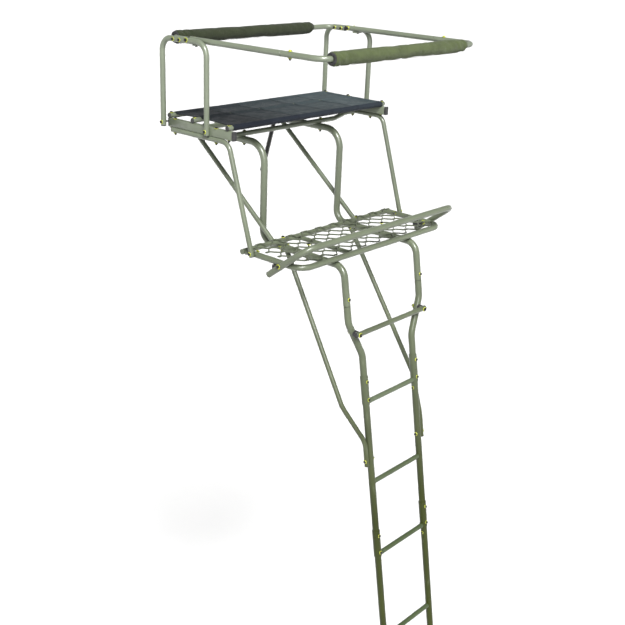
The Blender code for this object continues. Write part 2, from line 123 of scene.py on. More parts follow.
# Soft goods and deck
PAD_R = 0.0272
REAR_SLEEVE_X = (-0.462, 0.362)
FRONT_SLEEVE_X = (-0.437, 0.398)
SLING_X = (-0.469, 0.4755)
SLING_WAIST = (0.017, 0.004)
# Creases across the seat: where each lies, and how much painted sheen lightens the sling past it
SLING_CREASES_AND_SHEEN_STEPS = ((-0.235, 0.12), (-0.060, 0.22), (0.155, 0.16), (0.330, 0.20))
CREASE_SLANT = 0.10
CREASE_WAVE = (0.0045, 27.0)
CREASE_WIDTH = 0.007
CREASE_DEPTH = 0.0014
SLING_SAG_LIMIT = 0.007
SLEEVE_SWELL_LIMIT = 0.0024
HEM_STEP = math.radians(17)
STITCH_R = 0.0005
STITCH_SHARE = 0.62
DIAMOND = (0.0927, 0.0688)
STRAND = (0.0064, 0.0026)
STRAND_TILT = math.radians(38)
DECK_PHASE = -0.0229
DECK_ROWS = 9

# Bolt shank radii
STOP_BOLT = 0.0030
SMALL_BOLT = 0.0034
FRAME_BOLT = 0.0036
DECK_BOLT = 0.0038
PIVOT_BOLT = 0.0042
RUNG_BOLT = 0.0044

# Coat: painted shade darkens it and turns it olive down the stand, between these heights, for light
# falling off lower down
SHADE_FALLOFF_HEIGHTS = (2.50, 4.30)
COAT_COLOUR = (0.110, 0.128, 0.089)
LOW_PAINTED_SHADE_TINT = (0.19, 0.21, 0.03)
RUNG_PAINTED_SHADE_TINT = (0.34, 0.40, 0.26)

# Camera and light
CAMERA_PLACE = (-3.1783, -2.5862, 4.9584)
CAMERA_TURN = (68.4477, -2.1719, -47.5664)
CAMERA_LENS = 57.04
SUN_DIRECTION = (0.38, 0.58, -0.76)
SUN_ENERGY = 7.4
SUN_SPREAD = 20
STRIP_PLACE = (-3.4, -3.4, 6.2)
STRIP_TARGET = (0, 0.1, 4.2)
STRIP_SIZE = (0.7, 2.4)
STRIP_POWER = 140
SKY_RAMP = (0.20, 0.34, 1.02, 0.30)
FLOOR_HALF_SIZE = 90.0
FLOOR_DROP = -0.002

SIDES = 28
SMOOTH_ANGLE = math.radians(38.0)
STAND, RAIL, FOOT_BAR = "stand", "shooting_rail", "foot_bar"
BOTH = ((-1, "left"), (1, "right"))
COAT_SLOT, ZINC_SLOT, RUBBER_SLOT = "green_powder_coat", "zinc_plated_steel", "black_rubber"

# A piece's materials: its own finish, then its bore or its bolts, then its plugs or washers
BASE, INNER, TRIM = 0, 1, 2
SHUT = ("shut", "shut")


def at(x, y, drop):
    """A point set out from the seat rails' height."""
    return Vector((x, y, SEAT_Z + drop))


def ladder_y(drop):
    """Depth of the ladder's leaning plane at a height below the seat rails."""
    return MAIN_FRONT_Y + LADDER_SLOPE * (drop - MAIN_LOW_DROP)


def on_ladder(x, drop):
    return at(x, ladder_y(drop), drop)


def along(start, direction):
    """A placement whose Z runs along a direction."""
    turn = Vector(direction).to_track_quat("Z", "Y").to_matrix().to_4x4()
    return Matrix.Translation(start) @ turn


def scaled(colour, factor):
    return tuple(min(1.0, c * factor) for c in colour)


# ---------------------------------------------------------------- materials

class Finish:
    """A Principled material and the few node shapes that the finishes share."""

    def __init__(self, name, colour, roughness, metallic=0.0):
        self.material = bpy.data.materials.new(name)
        self.material.use_nodes = True
        self.material.diffuse_color = (*colour, 1.0)
        self.tree = self.material.node_tree
        self.shader = self.tree.nodes["Principled BSDF"]
        self.set("Base Color", (*colour, 1.0))
        self.set("Roughness", roughness)
        self.set("Metallic", metallic)
        self.place = self.add("ShaderNodeTexCoord").outputs["Object"]

    def add(self, kind, inputs=(), **settings):
        node = self.tree.nodes.new(kind)
        for key, value in settings.items():
            setattr(node, key, value)
        for key, value in dict(inputs).items():
            if isinstance(value, bpy.types.NodeSocket):
                self.tree.links.new(value, node.inputs[key])
            else:
                node.inputs[key].default_value = value
        return node

    def set(self, key, value):
        if isinstance(value, bpy.types.NodeSocket):
            self.tree.links.new(value, self.shader.inputs[key])
        else:
            self.shader.inputs[key].default_value = value

    def noise(self, scale, detail=3.0, stretch=None):
        where = self.place
        if stretch:
            where = self.add("ShaderNodeMapping", {"Vector": where, "Scale": stretch}).outputs[0]
        inputs = {"Vector": where, "Scale": scale, "Detail": detail}
        return self.add("ShaderNodeTexNoise", inputs).outputs["Fac"]

    def spread(self, value, low, high, to_low=0.0, to_high=1.0):
        inputs = {"Value": value, 1: low, 2: high, 3: to_low, 4: to_high}
        return self.add("ShaderNodeMapRange", inputs).outputs["Result"]

    def mix(self, factor, first, second, blend="MIX"):
        node = self.add("ShaderNodeMix", data_type="RGBA", blend_type=blend)
        for index, value in ((0, factor), (6, first), (7, second)):
            if isinstance(value, bpy.types.NodeSocket):
                self.tree.links.new(value, node.inputs[index])
            else:
                node.inputs[index].default_value = value if index == 0 else (*value, 1.0)
        return node.outputs[2]

    def maths(self, operation, first, second=0.0):
        return self.add("ShaderNodeMath", {0: first, 1: second}, operation=operation).outputs[0]

    def ripple(self, axis, period):
        """A wave from -1 to 1 along one axis of the object."""
        split = self.add("ShaderNodeSeparateXYZ", {0: self.place}).outputs[axis]
        return self.maths("SINE", self.maths("MULTIPLY", split, 2 * math.pi / period))

    def bump(self, height, strength, distance, under=None):
        inputs = {"Height": height, "Strength": strength, "Distance": distance}
        if under is not None:
            inputs["Normal"] = under
        return self.add("ShaderNodeBump", inputs).outputs["Normal"]


def powder_coat(name, colour, roughness, low_painted_shade=LOW_PAINTED_SHADE_TINT):
    """Satin powder coat: faint colour drift, orange peel, dull rubbed patches and fine specks, with
    painted shade that darkens it, turns it olive and lowers its specular level down the stand.
    """
    finish = Finish(name, colour, roughness)
    drift = finish.spread(finish.noise(5.0, 4.0), 0.3, 0.7)
    base = finish.mix(drift, scaled(colour, 0.84), scaled(colour, 1.14))
    height = finish.add("ShaderNodeSeparateXYZ", {0: finish.place}).outputs[2]
    # Painted shade: the colour darkens and turns olive lower down the stand
    painted_shade = finish.mix(finish.spread(height, *SHADE_FALLOFF_HEIGHTS), low_painted_shade, (1.0, 1.0, 1.0))
    base = finish.mix(1.0, base, painted_shade, "MULTIPLY")
    rub = finish.spread(finish.noise(26.0, 8.0, (1.0, 1.0, 0.35)), 0.62, 0.74, 0.0, 0.22)
    base = finish.mix(rub, base, scaled(colour, 1.45))
    speck = finish.spread(finish.noise(420.0, 2.0), 0.70, 0.76, 0.0, 0.7)
    finish.set("Base Color", finish.mix(speck, base, scaled(colour, 0.35)))
    dull = finish.spread(finish.noise(38.0, 6.0), 0.3, 0.7, roughness - 0.07, roughness + 0.12)
    finish.set("Roughness", dull)
    peel = finish.bump(finish.noise(650.0, 2.0), 0.22, 0.0006)
    finish.set("Normal", finish.bump(finish.noise(90.0, 3.0), 0.10, 0.0015, peel))
    # Painted shade: the specular level drops lower down the stand too
    finish.set("Specular IOR Level", finish.spread(height, *SHADE_FALLOFF_HEIGHTS, 0.12, 0.50))
    finish.set("Coat Weight", 0.28)
    finish.set("Coat Roughness", 0.20)
    return finish.material


def zinc_plate():
    """Yellow passivated zinc: uneven gold and olive bloom on fine turned steel."""
    finish = Finish("zinc_plated_steel", (0.70, 0.72, 0.12), 0.34, 0.45)
    bloom = finish.spread(finish.noise(140.0, 4.0), 0.35, 0.65)
    finish.set("Base Color", finish.mix(bloom, (0.28, 0.33, 0.03), (0.52, 0.53, 0.08)))
    finish.set("Normal", finish.bump(finish.noise(900.0, 2.0), 0.3, 0.0003))
    return finish.material


def black_steel():
    """Black oxide hardware with a little wear showing."""
    finish = Finish("black_hardware", (0.012, 0.012, 0.012), 0.38, 0.35)
    wear = finish.spread(finish.noise(220.0, 5.0), 0.60, 0.72, 0.0, 0.5)
    finish.set("Base Color", finish.mix(wear, (0.010, 0.010, 0.010), (0.09, 0.09, 0.085)))
    finish.set("Normal", finish.bump(finish.noise(800.0, 2.0), 0.25, 0.0003))
    return finish.material


def black_plastic(name, shade=0.014, roughness=0.5, grain=1400.0):
    """Moulded black plastic or rubber with a fine grain and dusty patches."""
    finish = Finish(name, (shade,) * 3, roughness)
    dust = finish.spread(finish.noise(60.0, 5.0), 0.5, 0.75, 0.0, 0.4)
    finish.set("Base Color", finish.mix(dust, (shade, shade, shade * 1.05), (0.07, 0.07, 0.062)))
    finish.set("Normal", finish.bump(finish.noise(grain, 2.0), 0.35, 0.0004))
    return finish.material


def bore_dark():
    """Raw steel inside the tubes, painted near black as the shade deep in an unlit bore."""
    finish = Finish("tube_bore", (0.020, 0.022, 0.018), 0.8)
    rust = finish.mix(finish.noise(80.0, 3.0), (0.014, 0.015, 0.012), (0.035, 0.036, 0.030))
    finish.set("Base Color", rust)
    return finish.material


def sleeve_cloth(name, colour):
    """Woven nylon round a foam tube: weave round and along the sleeve, shaded folds, soft sheen."""
    finish = Finish(name, colour, 0.82)
    split = finish.add("ShaderNodeSeparateXYZ", {0: finish.place})
    angle = finish.maths("ARCTAN2", split.outputs[2], split.outputs[1])
    weft = finish.maths("SINE", finish.maths("MULTIPLY", angle, 46.0))
    warp = finish.ripple(0, 0.0032)
    weave = finish.maths("MULTIPLY", weft, warp)
    thread = finish.spread(weave, -1.0, 1.0)
    blotch = finish.spread(finish.noise(24.0, 5.0), 0.3, 0.7)
    base = finish.mix(blotch, scaled(colour, 0.80), scaled(colour, 1.16))
    shade = finish.maths("MULTIPLY", thread, 0.30)
    finish.set("Base Color", finish.mix(shade, base, scaled(colour, 0.45)))
    crumple = finish.bump(finish.noise(34.0, 5.0, (0.6, 1.0, 1.0)), 0.35, 0.004)
    finish.set("Normal", finish.bump(weave, 0.5, 0.0007, crumple))
    finish.set("Specular IOR Level", 0.18)
    finish.set("Sheen Weight", 0.08)
    finish.set("Sheen Roughness", 0.45)
    return finish.material


def sling_cloth():
    """Coated blue-black fabric: plain weave, packing creases across it with painted shade along them,
    and a painted sheen that lightens it towards one side in steps at the creases.
    """
    finish = Finish("sling_cloth", (0.020, 0.026, 0.031), 0.52)
    axes = finish.add("ShaderNodeSeparateXYZ", {0: finish.place})
    weave = finish.maths("MULTIPLY", finish.ripple(0, 0.0026), finish.ripple(1, 0.0026))
    wander = finish.maths("MULTIPLY", finish.maths("SUBTRACT", finish.noise(7.0, 4.0), 0.5), 0.09)
    across = finish.maths("ADD", axes.outputs[0], wander)
    swing, turns = CREASE_WAVE
    wave = finish.maths("SINE", finish.maths("MULTIPLY", axes.outputs[1], turns))
    slant = finish.maths("ADD", axes.outputs[0], finish.maths("MULTIPLY", axes.outputs[1], CREASE_SLANT))
    slant = finish.maths("ADD", slant, finish.maths("MULTIPLY", wave, swing))
    # Painted sheen: the sling lightens towards +X, with a step up past each crease
    painted_sheen = finish.spread(across, -0.45, 0.40, 0.0, 0.30)
    crease = None
    for x, step in SLING_CREASES_AND_SHEEN_STEPS:
        painted_sheen = finish.maths("ADD", painted_sheen, finish.spread(slant, x, x + 0.012, 0.0, step))
        near = finish.maths("ABSOLUTE", finish.maths("SUBTRACT", slant, x))
        line = finish.spread(near, 0.0, 0.010, 1.0, 0.0)
        crease = line if crease is None else finish.maths("MAXIMUM", crease, line)
    base = finish.mix(painted_sheen, (0.0060, 0.0074, 0.0088), (0.048, 0.064, 0.068))
    mottle = finish.spread(finish.noise(18.0, 6.0, (0.35, 1.6, 1.0)), 0.3, 0.7, 0.0, 0.45)
    base = finish.mix(mottle, base, (0.013, 0.016, 0.019))
    # Painted shade: the crease lines are darkened
    base = finish.mix(finish.maths("MULTIPLY", crease, 0.8), base, (0.003, 0.004, 0.005))
    base = finish.mix(finish.spread(weave, -1.0, 1.0, 0.0, 0.30), base, (0.008, 0.010, 0.012))
    hem = finish.spread(axes.outputs[1], SEAT_TUBE_Y[2] - 0.0015, SEAT_TUBE_Y[2] + 0.0015, 0.75, 0.0)
    finish.set("Base Color", finish.mix(hem, base, (0.008, 0.010, 0.016)))
    finish.set("Roughness", finish.spread(finish.noise(30.0, 4.0), 0.3, 0.7, 0.42, 0.62))
    crumple = finish.bump(finish.noise(15.0, 7.0, (0.5, 1.8, 1.0)), 0.30, 0.008)
    crumple = finish.bump(crease, -0.60, 0.004, crumple)
    finish.set("Normal", finish.bump(weave, 0.4, 0.0006, crumple))
    finish.set("Specular IOR Level", 0.10)
    return finish.material


def thread_finish(name, colour):
    """Twisted sewing thread."""
    finish = Finish(name, colour, 0.7)
    twist = finish.noise(900.0, 1.0)
    finish.set("Base Color", finish.mix(twist, scaled(colour, 0.6), colour))
    finish.set("Normal", finish.bump(twist, 0.5, 0.0004))
    return finish.material


GREEN = powder_coat("green_powder_coat", COAT_COLOUR, 0.34)
# The rungs' copy of the coat takes a lighter painted shade lower down
RUNG_COAT = powder_coat("rung_powder_coat", COAT_COLOUR, 0.34, RUNG_PAINTED_SHADE_TINT)
# Painted shade: the deck's coat is a darker copy, standing in for shade on the twisted strands
SHADED_DECK_COAT = powder_coat("deck_powder_coat_painted_shade", (0.070, 0.081, 0.054), 0.40)
SHADOW_COAT = powder_coat("black_powder_coat", (0.016, 0.017, 0.012), 0.5)
ZINC = zinc_plate()
HARDWARE = black_steel()
PLUG = black_plastic("end_plug_plastic")
RUBBER = black_plastic("moulded_rubber", 0.011, 0.7, 700.0)
BORE = bore_dark()
FRONT_CLOTH = sleeve_cloth("front_sleeve_cloth", (0.052, 0.067, 0.025))
REAR_CLOTH = sleeve_cloth("rear_sleeve_cloth", (0.0165, 0.0215, 0.0085))
FOAM = black_plastic("foam_end_ring", 0.010, 0.9, 500.0)
SLING = sling_cloth()
THREAD = thread_finish("sling_thread", (0.045, 0.052, 0.058))
SLEEVE_THREAD = thread_finish("sleeve_thread", (0.050, 0.060, 0.030))


# ---------------------------------------------------------------- mesh building

def rounded_path(points, radii, steps=10):
    """The same path with each inner corner replaced by an arc."""
    points = [Vector(p) for p in points]
    if not isinstance(radii, tuple):
        radii = (radii,) * len(points)
    path = [points[0]]
    for before, corner, after, radius in zip(points, points[1:], points[2:], radii):
        back = (before - corner).normalized()
        ahead = (after - corner).normalized()
        half = back.angle(ahead) / 2
        reach = radius / math.tan(half)
        centre = corner + (back + ahead).normalized() * (radius / math.sin(half))
        start = corner + back * reach - centre
        end = corner + ahead * reach - centre
        axis = start.cross(end)
        sweep = start.angle(end)
        for step in range(steps + 1):
            path.append(centre + Quaternion(axis, sweep * step / steps) @ start)
    path.append(points[-1])
    return path


def frames_along(path, closed=False):
    """A placement at each point, turned as little as possible from one to the next."""
    count = len(path)
    tangents = []
    for index, point in enumerate(path):
        before = path[index - 1] if index or closed else point
        after = path[(index + 1) % count] if index < count - 1 or closed else point
        tangents.append((after - before).normalized())
    turn = tangents[0].to_track_quat("Z", "Y")
    places = []
    for index, point in enumerate(path):
        if index:
            turn = tangents[index - 1].rotation_difference(tangents[index]) @ turn
        places.append(Matrix.Translation(point) @ turn.to_matrix().to_4x4())
    return places


def add_to_scene(name, data):
    obj = bpy.data.objects.new(name, data)
    bpy.context.scene.collection.objects.link(obj)
    return obj


def make_object(name, mesh, materials):
    """A scene object from a finished bmesh, which is freed."""
    data = bpy.data.meshes.new(name)
    mesh.to_mesh(data)
    mesh.free()
    for material in materials:
        data.materials.append(material)
    return add_to_scene(name, data)


class Piece:
    """One visible piece, put together from swept and turned shapes."""

    def __init__(self, name, body, *materials):
        self.name = name
        self.body = body
        self.materials = materials
        self.mesh = bmesh.new()

    def skin(self, rings, material=BASE, closed_path=False, caps=(True, True)):
        """Joins rings of points, each a list of the same length or one single point."""
        rows = [[self.mesh.verts.new(p) for p in ring] for ring in rings]
        pairs = list(zip(rows, rows[1:]))
        if closed_path:
            pairs.append((rows[-1], rows[0]))
        faces = []
        for low, high in pairs:
            size = max(len(low), len(high))
            for i in range(size):
                j = (i + 1) % size
                if len(low) == 1:
                    corners = [low[0], high[j], high[i]]
                elif len(high) == 1:
                    corners = [low[i], low[j], high[0]]
                else:
                    corners = [low[i], low[j], high[j], high[i]]
                faces.append(self.mesh.faces.new(corners))
        if not closed_path:
            if caps[0] and len(rows[0]) > 2:
                faces.append(self.mesh.faces.new(list(reversed(rows[0]))))
            if caps[1] and len(rows[-1]) > 2:
                faces.append(self.mesh.faces.new(rows[-1]))
        for face in faces:
            face.material_index = material
        return faces

    def ring(self, place, radius, sides=SIDES):
        """A circle of points, or one point where the radius is nothing."""
        if radius <= 0:
            return [place.translation.copy()]
        angles = [2 * math.pi * i / sides for i in range(sides)]
        return [place @ Vector((radius * math.cos(a), radius * math.sin(a), 0)) for a in angles]

    def turned(self, place, profile, material=BASE, sides=SIDES, closed=False):
        """A solid of revolution from (radius, height) points; closed joins the last to the first."""
        rings = []
        for radius, height in profile:
            rings.append(self.ring(place @ Matrix.Translation((0, 0, height)), radius, sides))
        return self.skin(rings, material, closed_path=closed)

    def sweep(self, path, radius, material=BASE, sides=SIDES, hollow=(True, True)):
        """A tube along a path, with a wall and a dark bore at each open end."""
        places = frames_along(path)
        rings = [self.ring(place, radius, sides) for place in places]
        for end, sign in ((0, 1), (-1, -1)):
            place = places[end]
            inward = Matrix.Translation((0, 0, sign * EDGE))
            rings[end] = self.ring(place @ inward, radius, sides)
            lip = [self.ring(place, radius - EDGE, sides)]
            if hollow[end]:
                lip.append(self.ring(place, radius - WALL, sides))
                deep = place @ Matrix.Translation((0, 0, sign * radius * 2.2))
                inner = [lip[-1], self.ring(deep, radius - WALL, sides), [deep.translation.copy()]]
                if sign > 0:
                    inner = list(reversed(inner))
                self.skin(inner, INNER, caps=(False, False))
            if sign > 0:
                rings = list(reversed(lip)) + rings
            else:
                rings = rings + lip
        return self.skin(rings, material, caps=(not hollow[0], not hollow[1]))

    def strip(self, places, section):
        """A bar of any cross-section, given as (u, v) points, through placements."""
        self.skin([[place @ Vector((u, v, 0)) for u, v in section] for place in places])

    def block(self, low, high, radius, steps=3):
        """A box with rounded edges."""
        low, high = Vector(low), Vector(high)
        made = bmesh.ops.create_cube(self.mesh, size=1.0)
        bmesh.ops.scale(self.mesh, vec=high - low, verts=made["verts"])
        bmesh.ops.translate(self.mesh, vec=(low + high) / 2, verts=made["verts"])
        edges = list({edge for vert in made["verts"] for edge in vert.link_edges})
        bmesh.ops.bevel(
            self.mesh, geom=edges, offset=radius, segments=steps, profile=0.5, affect="EDGES",
            clamp_overlap=True)

    def plug(self, end, outward, radius):
        """A push-in end plug: a thin domed flange over the tube's mouth."""
        neck, rim, depth = radius - WALL - 0.0001, radius + 0.0002, 0.003
        profile = [
            (0, -0.012), (neck, -0.012), (neck, -0.0001), (rim, -0.0001), (rim, depth * 0.45),
            (radius * 0.93, depth * 0.8), (radius * 0.6, depth), (0, depth)]
        self.turned(along(end, outward), profile, TRIM)

    def bolt(self, head, nut, size, crown=INNER):
        """Hex bolt from its head's seat to its nut's seat, a washer under each."""
        head, nut = Vector(head), Vector(nut)
        out = (head - nut).normalized()
        hex_r, thick, flat, tail = size * 1.75, size * 1.25, 0.0012, 0.004
        rim = [(0, 0), (size * 2.3, 0), (size * 2.45, flat * 0.4), (size * 2.3, flat), (0, flat)]
        for seat, direction in ((head, out), (nut, -out)):
            self.turned(along(seat, direction), rim, TRIM, 20)
        sides = [(0, 0), (hex_r, 0), (hex_r, thick * 0.8), (hex_r * 0.86, thick)]
        dome = [(hex_r * 0.5, thick * 1.12), (0, thick * 1.15)]
        self.turned(along(head + out * flat, out), sides + dome, crown, 6)
        under = along(nut - out * flat, -out)
        self.turned(under, sides + [(0, thick)], INNER, 6)
        tip = [
            (0, 0), (size, 0), (size, thick + tail - 0.001), (size * 0.8, thick + tail),
            (0, thick + tail)]
        self.turned(under, tip, INNER, 14)
        reach = (head - nut).length
        self.turned(along(nut, out), [(0, 0), (size, 0), (size, reach), (0, reach)], INNER, 12)

    def cross_bolt(self, side, outer, inner, y, drop, size):
        """A bolt across the stand, its head on the outside."""
        self.bolt(at(side * outer, y, drop), at(side * inner, y, drop), size)

    def drop_bolt(self, x, y, top, low, size, crown=INNER):
        """An upright bolt, its head on top."""
        self.bolt(at(x, y, top), at(x, y, low), size, crown)

    def saddle_weld(self, centre, arm, post, arm_r, post_r):
        """Rippled weld bead where a round tube meets the side of another."""
        arm, post = Vector(arm).normalized(), Vector(post).normalized()
        side = arm.cross(post)
        bead, count = 0.0021, 40
        path = []
        for i in range(count):
            a = 2 * math.pi * i / count
            reach = math.sqrt(max(post_r ** 2 - (arm_r * math.sin(a)) ** 2, 0.0))
            around = arm_r * (math.cos(a) * post + math.sin(a) * side)
            path.append(Vector(centre) + around + arm * reach)
        rings = []
        for i, place in enumerate(frames_along(path, True)):
            rings.append(self.ring(place, bead * (1 + 0.14 * math.sin(i * 2.6)), 8))
        self.skin(rings, closed_path=True)

    def stitch(self, start, middle, end):
        self.sweep([start, middle, end], STITCH_R, sides=6, hollow=(False, False))

    def done(self, replaces=(), slot=COAT_SLOT):
        """Makes the object; edges sharper than the smoothing angle stay crisp."""
        bmesh.ops.recalc_face_normals(self.mesh, faces=self.mesh.faces)
        for face in self.mesh.faces:
            face.smooth = True
        for edge in self.mesh.edges:
            if len(edge.link_faces) == 2:
                edge.smooth = edge.calc_face_angle(0.0) < SMOOTH_ANGLE
        finish_piece(make_object(self.name, self.mesh, self.materials), self.body, replaces)


def finish_piece(obj, body, replaces):
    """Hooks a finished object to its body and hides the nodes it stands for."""
    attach(obj, body)
    if replaces:
        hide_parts(*replaces)


def coated_tube(node, body, path, radius, ends=("plug", "plug"), material=GREEN, extra=None):
    """A coated tube that stands for a CAD node; each end is open, plugged or shut."""
    piece = Piece(f"{node}_coated", body, material, BORE, PLUG)
    piece.sweep(path, radius, hollow=tuple(end != "shut" for end in ends))
    for kind, tip, inner in ((ends[0], path[0], path[1]), (ends[1], path[-1], path[-2])):
        if kind == "plug":
            piece.plug(tip, tip - inner, radius)
    if extra:
        extra(piece)
    piece.done((node,), "black_coat" if material is SHADOW_COAT else COAT_SLOT)


# ---------------------------------------------------------------- frame tubes

def seat_frame():
    """Main tubes, braces and armrest hoops, then the two braces that join the sides."""
    for side, label in BOTH:
        x = side * MAIN_X
        route = [
            at(x, MAIN_REAR_Y, MAIN_TOP_DROP), at(x, MAIN_POST_Y, MAIN_TOP_DROP),
            at(x, MAIN_POST_Y, MAIN_LOW_DROP), on_ladder(x, MAIN_LOW_DROP), on_ladder(x, SEAM_DROP)]
        path = rounded_path(route, (0.084, 0.058, 0.058), 14)
        coated_tube(f"main_tube_{label}", STAND, path, TUBE_R, ("plug", "open"))

        x = side * DIAGONAL_X
        path = [at(x, 0.730, -0.084), at(x, 0.232, -0.478)]
        coated_tube(f"upper_diagonal_{label}", STAND, path, BRACE_R)

        x = side * OUTER_BRACE_X
        route = [at(x, 0.623, BRACE_RISE), at(x, 0.282, BRACE_RISE), at(x, 0.139, -0.470)]
        coated_tube(f"outer_brace_{label}", STAND, rounded_path(route, 0.050, 12), BRACE_R)

        low_x = side * (LADDER_X + TUBE_R + BRACE_R + 2 * GAP)
        route = [
            at(side * BRACE_TOP_X, 0.2195, -0.4877), at(side * 0.250, -0.179, -1.1176),
            on_ladder(low_x, -1.270), on_ladder(low_x, -1.379)]
        coated_tube(f"lower_brace_{label}", STAND, rounded_path(route, 0.130, 14), BRACE_R)

        x = side * HOOP_X
        rear, front = HOOP_Y
        route = [
            at(x, rear, -0.015), at(x, rear, HOOP_RISE), at(x, front, HOOP_RISE),
            at(x, front, -0.015)]
        coated_tube(f"armrest_hoop_{label}", STAND, rounded_path(route, 0.053, 14), BAR_R)

    end_x = OUTER_BRACE_X - BRACE_R - 0.001
    half = [(end_x, BRACE_RISE), (0.415, BRACE_RISE), (0.340, CROSSBAR_DROP)]
    route = [at(-x, CROSSBAR_Y, drop) for x, drop in half]
    route += [at(x, CROSSBAR_Y, drop) for x, drop in reversed(half)]
    coated_tube("mid_crossbar", STAND, rounded_path(route, 0.060, 8), BRACE_R)
    path = [at(0.236, 0.740, -0.0985), at(-0.230, 0.348, -0.186)]
    coated_tube("cross_brace", STAND, path, BRACE_R * 0.95, material=SHADOW_COAT)


def box_rail(side, label):
    """Rectangular seat rail with rounded corners and black plastic caps on its ends."""
    piece = Piece(f"seat_rail_{label}_coated", STAND, GREEN, PLUG, BORE)
    half_w, half_h = RAIL_SIZE[0] / 2, RAIL_SIZE[1] / 2
    corner = 0.0035
    section = []
    for cx, cz, start in ((1, 1, 0), (-1, 1, 90), (-1, -1, 180), (1, -1, 270)):
        for step in range(5):
            a = math.radians(start + 90 * step / 4)
            section.append((cx * (half_w - corner) + corner * math.cos(a),
                            cz * (half_h - corner) + corner * math.sin(a)))
    rear, front = SEAT_RAIL_Y
    for low, high, grow, material in (
            (front + 0.0015, rear, 0.0, BASE), (front - 0.0075, front + 0.0015, 0.0006, INNER),
            (rear, rear + 0.005, 0.0006, INNER)):
        rings = []
        stops = ((low, -0.0008), (low + 0.0012, 0.0), (high - 0.0012, 0.0), (high, -0.0008))
        for y, inset in stops:
            scale_u = (half_w + grow + inset) / half_w
            scale_v = (half_h + grow + inset) / half_h
            rings.append([at(side * RAIL_X + u * scale_u, y, v * scale_v) for u, v in section])
        piece.skin(rings, material)
    piece.done((f"seat_rail_{label}",))


def seat_tubes():
    half = RAIL_X + 0.010
    for label, y in zip(("rear", "mid", "front"), SEAT_TUBE_Y):
        path = [at(-half, y, SEAT_TUBE_RISE), at(half, y, SEAT_TUBE_RISE)]
        coated_tube(f"seat_{label}_tube", STAND, path, BRACE_R)


def tree_bracket():
    """Cross tube with a folded blade that bites the trunk; its outer edges are toothed."""
    half = MAIN_X - TUBE_R - GAP
    piece = Piece("tree_bracket_coated", STAND, GREEN, BORE)
    path = [at(-half, TREE_BAR_Y, MAIN_TOP_DROP), at(half, TREE_BAR_Y, MAIN_TOP_DROP)]
    piece.sweep(path, TREE_BAR_R)
    tip_x, tip_y = 0.105, 0.7860
    outline = [(tip_x, tip_y), (0.034, 0.7575), (0.026, 0.7558)]
    outline = [(-x, y) for x, y in outline] + outline[::-1]
    thick, height = 0.005, 0.014
    rise = SEAT_Z + MAIN_TOP_DROP
    rings = []
    for x, y in outline:
        corners = ((y, -height), (y, height), (y - thick, height), (y - thick, -height))
        rings.append([Vector((x, depth, rise + dz)) for depth, dz in corners])
    piece.skin(rings)
    for side in (-1, 1):
        for tooth in range(4):
            z = rise - height + 0.0035 + tooth * 0.007
            base = [Vector((side * tip_x, tip_y + dy, z + dz)) for dy, dz in (
                (0, -0.0033), (0, 0.0033), (-thick, 0.0033), (-thick, -0.0033))]
            tip = [Vector((side * 0.1085, 0.7872, z))]
            piece.skin([base, tip] if side > 0 else [list(reversed(base)), tip])
    for side in (-1, 1):
        end = at(side * MAIN_X, TREE_BAR_Y, MAIN_TOP_DROP)
        piece.saddle_weld(end, (-side, 0, 0), (0, 1, 0), TREE_BAR_R, TUBE_R)
    piece.done(("tree_bracket",))


# ---------------------------------------------------------------- rails

def rails():
    """The fixed rear rail, the flipping front rail with its two arms, and the arms' stop plates."""
    route = [
        at(-ARM_X, REAR_BAR_END_Y, HOOP_RISE), at(-ARM_X, REAR_BAR_Y, HOOP_RISE),
        at(ARM_X, REAR_BAR_Y, HOOP_RISE), at(ARM_X, REAR_BAR_END_Y, HOOP_RISE)]
    coated_tube("rear_rail", STAND, rounded_path(route, 0.040, 14), BAR_R)

    end_y = ARM_SEAM_Y - GAP
    route = [
        at(-ARM_X, end_y, ARM_RISE), at(-ARM_X, FRONT_BAR_Y, ARM_RISE),
        at(ARM_X, FRONT_BAR_Y, ARM_RISE), at(ARM_X, end_y, ARM_RISE)]
    coated_tube("front_rail", RAIL, rounded_path(route, 0.060, 14), BAR_R, ("open", "open"))

    for side, label in BOTH:
        x = side * ARM_X
        path = [at(x, RAIL_PIVOT_Y + 0.010, ARM_RISE), at(x, ARM_SEAM_Y + 0.0014, ARM_RISE)]
        piece = Piece(f"rail_arm_{label}_coated", RAIL, GREEN, BORE, PLUG)
        piece.sweep(path, BAR_R)
        piece.plug(path[0], (0, 1, 0), BAR_R)
        inner = [at(x, ARM_SEAM_Y + 0.03, ARM_RISE), at(x, ARM_SEAM_Y - 0.050, ARM_RISE)]
        piece.sweep(inner, BAR_R - WALL - 0.0006)
        piece.done((f"rail_arm_{label}",))

        top = ARM_RISE - BAR_R - GAP
        base = HOOP_RISE - BAR_R - GAP
        piece = Piece(f"rail_stop_{label}_coated", STAND, GREEN, HARDWARE, ZINC)
        inner, step, outer = ARM_X - 0.009, ARM_X + 0.008, HOOP_X + 0.006
        under = base - 0.003
        outline = [
            (inner, top), (inner, under), (outer, under), (outer, base), (step, base), (step, top)]
        piece.skin([[at(side * u, y, v) for u, v in outline] for y in (0.4525, 0.4755)])
        piece.drop_bolt(side * (HOOP_X - 0.008), 0.464, base - 0.0028, base + 0.002, STOP_BOLT)
        piece.done((f"rail_stop_{label}",))


# ---------------------------------------------------------------- platform

